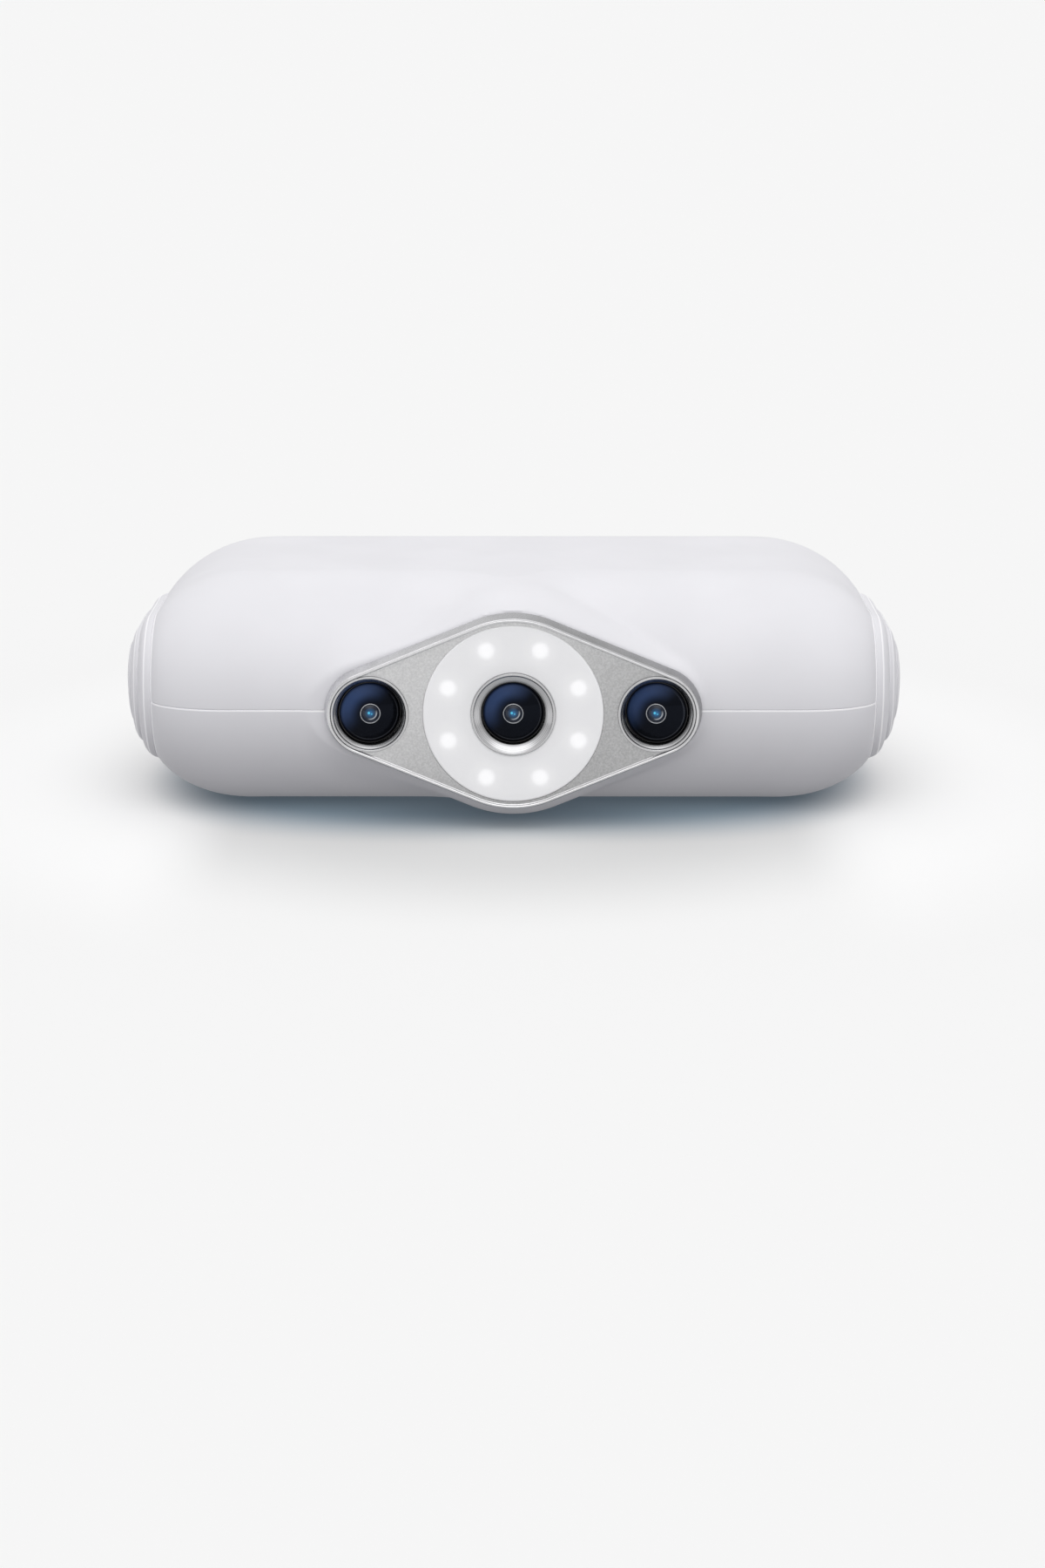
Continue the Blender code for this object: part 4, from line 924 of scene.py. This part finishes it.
class ScannerBezel(bpy.types.Operator):
    """Build the metal bezel: satin side wall, polished lip and blasted plate"""

    bl_idname = "scanner.bezel"
    bl_label = "Bezel"

    def execute(self, context):
        look = context.scene.scanner_bezel
        # Painted light and shade: the plate is paler to the upper left, the side wall lighter to the left and
        # darker to the right and below.
        plate = blasted_metal("blasted_plate", look.plate)
        rim = polished_metal("polished_lip", look.rim)
        wall = extruded_aluminium("satin_side", look.side, 0.30, (1.0, 6.0, 1.0), (1.5, 0.85))
        rows = self.rows(-look.draft, -look.draft - look.lip)
        rings = [outline(offset, y) for offset, y, _ in rows]
        mesh = net("bezel", rings, around=True, caps=True, tags=[tag for _, _, tag in rows[:-1]])
        mesh.polygons[-1].material_index = PLATE
        steps = []
        for x, radius in ((-LENS_X, SIDE_HOLE), (0.0, MIDDLE_HOLE), (LENS_X, SIDE_HOLE)):
            hole = lathe("hole", [(0, 0.01), (radius, 0.01), (radius, -0.01), (0, -0.01)], 128)
            steps.append(("DIFFERENCE", hole, facing(FRONTWARD, x, BEZEL_FRONT)))
        for material in (plate, rim, wall):
            mesh.materials.append(material)
        obj = piece("bezel", shaded(carved(mesh, steps), 30), [], ["front_bezel"])
        if len(obj.data.materials) < 3:
            raise RuntimeError("the bezel lost its finishes")
        return {"FINISHED"}

    def rows(self, front, inner, outer_round=0.00016, inner_round=0.00028):
        """(offset, depth, finish) from the back edge, up the wall, over the lip and down to the plate."""
        rows = [
            (-0.00025, BEZEL_BACK, WALL),
            (0.0, BEZEL_BACK - 0.0002, WALL),
            (front * 0.9, BEZEL_FRONT + 0.0008, WALL),
            (front - 0.00002, BEZEL_FRONT + 0.00062, WALL),
            (front - outer_round, BEZEL_FRONT + 0.00056, WALL),
            (front - outer_round, BEZEL_FRONT + 0.00046, LIP),
        ]
        for inset, down in rounding(outer_round, np.linspace(0, 90, 7)):
            rows.append((front - outer_round - inset, BEZEL_FRONT + down, LIP))
        for inset, down in rounding(inner_round, np.linspace(90, 0, 6)):
            rows.append((inner + inset, BEZEL_FRONT + down, LIP))
        return rows + [(inner, PLATE_Y - 0.00012, LIP), (inner - 0.00012, PLATE_Y, PLATE)]


class ScannerRingLight(bpy.types.Operator):
    """Build the milky ring light round the middle lens"""

    bl_idname = "scanner.ring_light"
    bl_label = "Ring light"

    def execute(self, context):
        milk = milky_diffuser(context.scene.scanner_ring_light)
        profile = [(0.01735, -0.0022), *arc((0.01695, -0.00035), 0.0004, 0, 90, 6)]
        profile += [(0.0150, 0.00008), (0.0120, 0.00010), (0.0095, 0.00008)]
        profile += [*arc((0.00838, -0.00018), 0.00025, 90, 180, 5), (0.00813, -0.0022)]
        mesh = turned("diffuser", profile, 160, 50)
        piece("diffuser", mesh, [milk], ["light_ring"], facing(FRONTWARD, 0, PLATE_Y))
        return {"FINISHED"}


def trim_profile(outer):
    """A funnel that slopes in from a narrow bright land."""
    profile = [(outer, -0.0024), *arc((outer - 0.00012, -0.00012), 0.00012, 0, 90, 4)]
    profile += arc((outer - 0.00034, -0.00014), 0.00014, 90, 150, 4)
    top = outer - 0.00046
    for part in np.linspace(0.15, 1, 8).tolist():
        profile.append((top - (top - TRIM_MOUTH) * part, -0.0002 - 0.0009 * part**1.1))
    return profile + [(TRIM_MOUTH - 0.00004, -0.0013), (TRIM_MOUTH, -0.0024)]


def baffle_profile():
    """A black stepped ring that runs in to the glass."""
    outside = [(0.00605, -0.004), (0.00605, 0.00005), (0.00598, 0.00012), (0.00586, 0.00012)]
    return outside + [(0.00582, 0.00004), (0.00578, -0.0006), (0.00578, -0.004)]


def glass_height(radius):
    """Height of the crowned front glass above its rim."""
    return math.sqrt(GLASS_BEND * GLASS_BEND - radius * radius) - GLASS_BEND + GLASS_CROWN


def dome_profile(pupil):
    """The front glass: a crowned disc with a small clear middle."""
    crown = [(radius, glass_height(radius)) for radius in np.linspace(pupil, GLASS_RIM - 0.0001, 16).tolist()]
    return [(pupil, -0.0008), *crown, (GLASS_RIM, -0.00002), (GLASS_RIM, -0.0008)]


def inner_ring_profile(pupil):
    """The small bright retaining ring seen in the middle of the glass."""
    height = glass_height(pupil)
    profile = [(pupil - 0.00001, height - 0.0009), (pupil - 0.00001, height + 0.00003)]
    profile += arc((pupil - 0.00010, height + 0.00001), 0.00006, 70, 160, 3)
    return profile + [(pupil - 0.00022, height - 0.0002), (pupil - 0.00024, height - 0.0009)]


def inner_lens_profile(pupil):
    """The small convex lens inside that ring."""
    reach, crown = pupil - 0.00025, 0.0004
    base = glass_height(pupil) - 0.00045
    profile = [(0.0, base + crown)]
    for radius in np.linspace(0, reach, 10)[1:].tolist():
        profile.append((radius, base + crown * math.cos(math.pi / 2 * radius / reach)))
    return profile + [(reach, base - 0.0003), (0.0, base - 0.0003)]


class ScannerLenses(bpy.types.Operator):
    """Build the three lenses: bright trim, black baffle, coated glass and inner lens"""

    bl_idname = "scanner.lenses"
    bl_label = "Lenses"

    def execute(self, context):
        look = context.scene.scanner_lenses
        # The bright trim gets painted shade inside its funnel, darkening towards the lens.
        chrome = turned_metal("bright_trim", look.chrome, 0.20, 0.00030, 0.000003, dark=(0.0068, 0.0060))
        black = turned_metal("black_baffle", (0.035, 0.035, 0.037), 0.32, 0.00016, 0.000012, 0.85)
        glass = lens_coating(look)
        silver = turned_metal("inner_ring", (0.42, 0.43, 0.45), 0.3, 0.0001, 0.000002)
        iris = inner_glass(look)
        pupil = look.pupil
        places = (("left", -LENS_X, SIDE_TRIM), ("centre", 0.0, MIDDLE_TRIM), ("right", LENS_X, SIDE_TRIM))
        for side, x, outer in places:
            toe = Matrix.Rotation(TOE_IN * ((x < 0) - (x > 0)), 4, "Z")
            front = facing(FRONTWARD, x, BEZEL_FRONT + 0.0003)
            rim = facing(toe @ FRONTWARD, x, GLASS_Y)
            parts = (
                ("trim", trim_profile(outer), 128, 32, chrome, "lens_ring", "chrome_trim", front),
                ("baffle", baffle_profile(), 128, 28, black, "lens_barrel", "black_metal", rim),
                ("glass", dome_profile(pupil), 128, 40, glass, "lens_glass", "lens_glass", rim),
                ("inner_ring", inner_ring_profile(pupil), 64, 35, silver, None, "chrome_trim", rim),
                ("inner_lens", inner_lens_profile(pupil), 64, 50, iris, None, "lens_glass", rim),
            )
            for part, profile, steps, angle, material, node, slot, place in parts:
                name = side + "_" + part
                nodes = [side + "_" + node] if node else []
                piece(name, turned(name, profile, steps, angle), [material], nodes, place)
        return {"FINISHED"}


class ScannerPanel(bpy.types.Operator):
    """Build the rear panel with its openings and status light"""

    bl_idname = "scanner.panel"
    bl_label = "Rear panel"

    def execute(self, context):
        look = context.scene.scanner_panel
        grey = moulded_plastic("panel_plastic", look.grey, 0.42, 0.00018, 0.00001)
        half_length, half_height = PANEL_HALVES
        rows = [standing(pill(half_length, half_height), PANEL_FACE - PANEL_THICK)]
        for inset, down in rounding(PANEL_ROUNDING, (0, 30, 60, 90)):
            rows.append(standing(pill(half_length - inset, half_height - inset), PANEL_FACE - down))
        steps, through, room = [], 0.003, 0.0003
        for x, radius in PANEL_HOLES:
            hole = rod(-through, through, radius, 0, 0)[0]
            steps.append(("DIFFERENCE", hole, facing(BACKWARD, x, PANEL_FACE)))
        mouth = pill(0.0049 + room, 0.0020 + room, 12)
        slot = slab("slot", [standing(mouth, PANEL_FACE + d, SOCKET_X) for d in (-through, through)])
        steps.append(("DIFFERENCE", slot, None))
        mesh = shaded(softened(carved(slab("rear_panel", rows), steps), 0.00012, 2, 50), 40)
        piece("rear_panel", mesh, [grey], ["control_panel"])
        radius, crown, sunk = 0.0012, 0.0004, 0.0001
        profile = [(0.0, crown - sunk)]
        for turn in np.linspace(0, math.pi / 2, 8)[1:]:
            profile.append((radius * math.sin(turn), crown * math.cos(turn) - sunk))
        profile += [(radius, -0.0016), (0.0, -0.0016)]
        dome = turned("status_lens", profile, 48, 50)
        place = facing(BACKWARD, STATUS_X, PANEL_FACE)
        piece("status_lens", dome, [status_glow(look.lamp)], ["status_light"], place)
        return {"FINISHED"}


def mark_outline(kind, bar=0.00028, arm=0.0013, reach=0.0019):
    """The outline of a generic key mark, in metres on the key's face."""
    if kind == "play":
        return [(reach * math.cos(a), reach * math.sin(a)) for a in np.radians((0, 120, 240))]
    if kind == "minus":
        return [(-arm, -bar), (arm, -bar), (arm, bar), (-arm, bar)]
    lower = [(-arm, -bar), (-bar, -bar), (-bar, -arm), (bar, -arm), (bar, -bar), (arm, -bar)]
    return lower + [(-u, -v) for u, v in lower]


class ScannerKeys(bpy.types.Operator):
    """Build the three keys with their raised marks"""

    bl_idname = "scanner.keys"
    bl_label = "Keys"

    def execute(self, context):
        look = context.scene.scanner_panel
        soft = moulded_plastic("key_plastic", look.key, 0.46, 0.00014, 0.000006)
        ink = moulded_plastic("mark_plastic", look.mark, 0.38, 0.0001, 0.000003)
        for name, x, radius, kind in KEYS:
            low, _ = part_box(name + "_button")
            flange, seat = radius + KEY_FLANGE, low.y - KEY_FACE
            profile = [(0.0, -KEY_DISH)]
            for part in np.linspace(0, 1, 9)[1:].tolist():
                profile.append((part * (radius - 0.0006), -KEY_DISH * math.cos(part * math.pi / 2) ** 2))
            profile += arc((radius - 0.0004, -0.0004), 0.0004, 90, 0, 6)
            profile += [(radius, -KEY_SKIRT), (flange, -KEY_SKIRT), (flange, seat), (0.0, seat)]
            body = name + "_key"
            place, key = facing(BACKWARD, x, KEY_FACE), turned(body, profile, 96, 40)
            piece(body, key, [soft], [name + "_button"], place, body)
            mirrored = [(-u, v) for u, v in mark_outline(kind)]
            rows = [standing(mirrored, KEY_FACE + d, x) for d in (-0.0006, -0.00008)]
            mark = shaded(softened(slab(name + "_mark", rows), 0.00005), 40)
            piece(name + "_mark", mark, [ink], [], None, body)
        return {"FINISHED"}


class ScannerSockets(bpy.types.Operator):
    """Build the data socket and the power jack"""

    bl_idname = "scanner.sockets"
    bl_label = "Sockets"

    def execute(self, context):
        steel = extruded_aluminium("socket_steel", (0.58, 0.58, 0.59), 0.26, (1.0, 8.0, 1.0))
        black = moulded_plastic("socket_black", (0.02, 0.02, 0.022), 0.45, 0.0001, 0.000005)
        self.data_socket(steel, black)
        self.power_jack(steel, black)
        return {"FINISHED"}

    def data_socket(self, steel, black):
        """A rolled steel shell, a tongue and two rows of contacts."""
        gold = extruded_aluminium("contact_gold", (0.85, 0.62, 0.26), 0.2, (1.0, 6.0, 1.0))
        low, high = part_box("usb_socket")
        face, back = high.y, low.y
        half_w, half_h = (high.x - low.x) / 2, (high.z - low.z) / 2
        lips = ((0.0, back), (0.0, face - 0.0001), (0.0001, face), (0.00028, face))
        lips += ((0.0004, face - 0.00014), (0.0004, back + 0.0008))
        rings = [standing(pill(half_w - inset, half_h - inset, 16), y, SOCKET_X) for inset, y in lips]
        shell = shaded(filled(net("data_socket", rings, around=True)), 35)
        piece("data_socket", shell, [steel], ["usb_socket"])
        ends = ((0.0, back + 0.0009), (0.0, face - 0.0009), (0.00012, face - 0.0007))
        tongue = [standing(pill(0.0033 - cut, 0.00035 - cut, 6), y, SOCKET_X) for cut, y in ends]
        piece("data_tongue", shaded(slab("data_tongue", tongue), 35), [black], [])
        count, pitch, size = 8, 0.0006, Matrix.Diagonal((0.00032, 0.0028, 0.00006, 1))
        bm = bmesh.new()
        for side in (1, -1):
            for step in range(count):
                along = (step - (count - 1) / 2) * pitch
                place = (SOCKET_X + along, face - 0.0026, MIDDLE_Z + side * 0.00036)
                bmesh.ops.create_cube(bm, size=1.0, matrix=Matrix.Translation(place) @ size)
        contacts = poured(bm, bpy.data.meshes.new("data_contacts"), joined=False)
        contacts = shaded(softened(contacts, 0.00002, 1), 40)
        piece("data_contacts", contacts, [gold], [])

    def power_jack(self, steel, black):
        """A black body with a steel sleeve and a centre pin."""
        low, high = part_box("power_jack")
        place = facing(BACKWARD, JACK_X, high.y)
        depth = low.y - high.y
        floor, edge = depth + 0.0008, 0.00015
        body = [(0.0040, depth), *arc((0.00385, -edge), edge, 0, 90, 3)]
        body += [*arc((0.00325, -edge), edge, 90, 180, 3), (0.0031, floor), (0.0, floor), (0.0, depth)]
        deep = depth + 0.0009
        sleeve = [(0.00308, deep), (0.00308, -0.0006), (0.00296, -0.0005), (0.00294, deep)]
        pin = [(0.0, -0.0008), *arc((0.0006, -0.0012), 0.0004, 90, 0, 5), (0.0010, floor), (0.0, floor)]
        parts = (
            ("power_socket", body, 80, 35, black, ["power_jack"], "black_chip"),
            ("power_sleeve", sleeve, 80, 35, steel, [], "screw_steel"),
            ("power_pin", pin, 48, 40, steel, [], "screw_steel"),
        )
        for name, profile, steps, angle, material, nodes, slot in parts:
            piece(name, turned(name, profile, steps, angle), [material], nodes, place)


class ScannerUnderside(bpy.types.Operator):
    """Build the threaded tripod insert and the case screws"""

    bl_idname = "scanner.underside"
    bl_label = "Underside"

    def execute(self, context):
        brass = turned_metal("insert_brass", (0.70, 0.50, 0.20), 0.26, 0.00015, 0.000006)
        steel = turned_metal("screw_steel", (0.46, 0.46, 0.47), 0.30, 0.00014, 0.000006)
        self.tripod_thread(brass)
        for index in range(1, 5):
            self.case_screw(index, steel)
        return {"FINISHED"}

    def tripod_thread(self, brass, turns=6, mouth=0.0004, edge=0.0002):
        """The insert with its thread's grooves as rings."""
        low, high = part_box("tripod_insert")
        outer, crest = (high.x - low.x) / 2, TRIPOD_BORE + 0.00002
        profile = [(outer, high.z), (outer, low.z + edge), (outer - edge, low.z)]
        profile += [(TRIPOD_BORE + mouth, low.z), (crest, low.z + mouth)]
        pitch = (high.z - low.z - 0.0008) / turns
        for turn in range(turns):
            start = low.z + mouth + turn * pitch
            profile += [(crest, start + pitch * 0.15), (TRIPOD_BORE + 0.00055, start + pitch * 0.5)]
            profile += [(crest, start + pitch * 0.85)]
        mesh = turned("tripod_thread", profile + [(TRIPOD_BORE, high.z)], 96, 30)
        place = Matrix.Translation((0.0, CENTRE_Y, 0.0))
        piece("tripod_thread", mesh, [brass], ["tripod_insert"], place)

    def case_screw(self, index, steel, head=0.0018, edge=0.0004, shank=0.0012):
        """A cap screw, head down, with a hexagonal socket."""
        node = f"case_screw_{index}"
        low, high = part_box(node)
        centre = (low + high) / 2
        radius = (high.x - low.x) / 2
        profile = [(0.0, head), (radius - edge, head), *arc((radius - edge, head - edge), edge, 90, 0, 4)]
        profile += [(radius, 0.0), (shank, 0.0), (shank, -0.006), (0.0, -0.006)]
        corners = [(0.00115 * math.cos(a), 0.00115 * math.sin(a)) for a in np.radians(range(0, 360, 60))]
        socket = slab("hex", [[(x, y, z) for x, y in corners] for z in (head - 0.0011, head + 0.001)])
        mesh = shaded(carved(lathe(node, profile, 64), [("DIFFERENCE", socket, None)], "EXACT"), 35)
        place = Matrix.Translation((centre.x, centre.y, low.z + head)) @ DOWNWARD
        piece(f"underside_screw_{index}", mesh, [steel], [node], place)


class ScannerInside(bpy.types.Operator):
    """Finish the parts inside the casing"""

    bl_idname = "scanner.inside"
    bl_label = "Inside"

    def execute(self, context):
        boards = ("main_board", "rear_board", "left_sensor_board", "right_sensor_board")
        boards += ("projector_board", "led_board")
        chips = ("processor", "left_memory_chip", "right_memory_chip")
        housings = ("left_camera_housing", "right_camera_housing", "projector_housing")
        screws = [f"{kind}_screw_{i}" for kind in ("frame", "board") for i in range(1, 5)]
        ribbons = ("left_camera_ribbon", "right_camera_ribbon", "projector_ribbon", "rear_ribbon")
        switches = [key[0] + kind for key in KEYS for kind in ("_switch", "_plunger")]
        groups = (
            (circuit_board("green_board", (0.016, 0.12, 0.045)), boards),
            (chip_resin("chip_resin", (0.018, 0.018, 0.020)), chips),
            (chip_resin("black_anodised", (0.028, 0.028, 0.030)), housings),
            (extruded_aluminium("bare_aluminium", (0.62, 0.63, 0.64), 0.36), ("optical_frame", "heat_sink")),
            (extruded_aluminium("plain_steel", (0.50, 0.50, 0.51), 0.28), screws),
            (ribbon_film("amber_film", (0.50, 0.27, 0.07)), ribbons),
            (lamp_face("lamp_phosphor", (0.88, 0.84, 0.62), 0.3), ("status_led",)),
            (chip_resin("switch_black", (0.025, 0.025, 0.027)), switches),
        )
        for material, names in groups:
            for name in names:
                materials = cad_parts[name].data.materials
                materials.clear()
                materials.append(material)
        return {"FINISHED"}


class ScannerStudio(bpy.types.Operator):
    """Set the pale floor, the soft surroundings and the camera"""

    bl_idname = "scanner.studio"
    bl_label = "Studio"

    def execute(self, context):
        look = context.scene.scanner_studio
        context.scene.view_settings.view_transform = "Standard"
        self.floor(context.scene, look)
        self.world(context.scene, look)
        self.camera(context.scene)
        return {"FINISHED"}

    def floor(self, scene, look, drop=0.00005):
        """A wide floor just below the casing, with a painted shadow under it and painted light near its
        sides.
        """
        bm = bmesh.new()
        bmesh.ops.create_grid(bm, x_segments=60, y_segments=60, size=30.0)
        mesh = poured(bm, bpy.data.meshes.new("studio_floor"), joined=False)
        obj = bpy.data.objects.new("studio_floor", mesh)
        obj.location.z = -drop
        scene.collection.objects.link(obj)
        finish = Finish("studio_floor", look.floor, 0.9, specular_ior_level=0.0)
        x, y, _ = finish.axes()
        run, reach = abs(x), y - CENTRE_Y
        close = ((run / 0.072) ** 4 + (reach / 0.047) ** 2) ** 0.5
        wide = ((run / 0.070) ** 2 + (reach / 0.070) ** 2) ** 0.5
        side = run.fade(0.052, 0.074)
        # Painted shadow: a faint wide darkening round the casing, except near its sides.
        tone = finish.mix(wide.fade(1.55, 0.9) * (1 - side), look.floor, tinted(look.floor, 0.83))
        # Painted light: a little paler near the sides.
        tone = finish.mix(side * wide.fade(2.0, 1.15), tone, (0.975, 0.975, 0.975))
        # Painted shadow: the shadow tint close under the casing.
        tone = finish.mix(close.fade(1.16, 0.66), tone, look.shadow)
        seen = self.seen(finish)
        finish.paint(seen, look.shade, tone)
        finish.feed({"Emission Strength": 1.0})
        finish.feed({"Emission Color": finish.mix(seen, (look.fill,) * 3, BLACK)})
        mesh.materials.append(finish.material)

    def seen(self, graph):
        """1 for what the camera, a reflection or glass sees, 0 for light that bounces."""
        kinds = ("Is Camera Ray", "Is Glossy Ray", "Is Transmission Ray")
        rays = [graph.node("ShaderNodeLightPath", None, (), name) for name in kinds]
        return graph.node("ShaderNodeClamp", None, (rays[0] + rays[1] + rays[2],))

    def world(self, scene, look, backdrop=0.922):
        """A soft dome: dim at the horizon, brightest in front and above."""
        world = bpy.data.worlds.new("studio_sky")
        world.use_nodes = True
        scene.world = world
        graph = Graph(world.node_tree, "Background")
        x, y, z = graph.axes(graph.node("ShaderNodeTexCoord"))
        toward = z * 0.78 - y * 0.62 + x * 0.03
        light = z.fade(0.02, 0.45, look.low, look.sky) + toward.fade(0.70, 0.98) * look.key
        camera = graph.node("ShaderNodeLightPath", None, (), "Is Camera Ray")
        graph.feed({"Color": WHITE, "Strength": light * (1 - camera) + camera * backdrop})

    def camera(self, scene, away=0.600, rise=13.1, turn=0.25, dip=2.375, swing=0.168):
        """The photo's camera: distance in metres, its place and its aim in degrees."""
        camera = configured(bpy.data.cameras.new("photo_camera"), {"lens": 66.98, "sensor_width": 36.0})
        obj = bpy.data.objects.new("photo_camera", camera)
        scene.collection.objects.link(obj)
        up, round_z = math.radians(rise), math.radians(turn)
        obj.location = (
            away * math.cos(up) * math.sin(round_z),
            CENTRE_Y - away * math.cos(up) * math.cos(round_z),
            MIDDLE_Z + away * math.sin(up),
        )
        obj.rotation_euler = (math.radians(90 - rise - dip), 0.0, math.radians(turn - swing))
        scene.camera = obj


OPERATORS = (
    ScannerCasing,
    ScannerCaps,
    ScannerBezel,
    ScannerRingLight,
    ScannerLenses,
    ScannerPanel,
    ScannerKeys,
    ScannerSockets,
    ScannerUnderside,
    ScannerInside,
    ScannerStudio,
)


class ScannerPanelUI(bpy.types.Panel):
    """Lists the sizes, the colours and the steps"""

    bl_idname = "VIEW3D_PT_scanner"
    bl_label = "Handheld scanner"
    bl_space_type = "VIEW_3D"
    bl_region_type = "UI"
    bl_category = "Scanner"

    def draw(self, context):
        for name, look in LOOKS.items():
            box = self.layout.box()
            box.label(text=name.replace("_", " ").capitalize())
            for key in look.__annotations__:
                box.prop(getattr(context.scene, name), key)
        for operator in OPERATORS:
            self.layout.operator(operator.bl_idname)


def register():
    for name, look in LOOKS.items():
        bpy.utils.register_class(look)
        setattr(bpy.types.Scene, name, PointerProperty(type=look))
    for entry in (*OPERATORS, ScannerPanelUI):
        bpy.utils.register_class(entry)


def unregister():
    for entry in (ScannerPanelUI, *reversed(OPERATORS)):
        bpy.utils.unregister_class(entry)
    for name, look in LOOKS.items():
        delattr(bpy.types.Scene, name)
        bpy.utils.unregister_class(look)


def main():
    register()
    for operator in OPERATORS:
        group, step = operator.bl_idname.split(".")
        getattr(getattr(bpy.ops, group), step)()


if __name__ == "__main__":
    main()
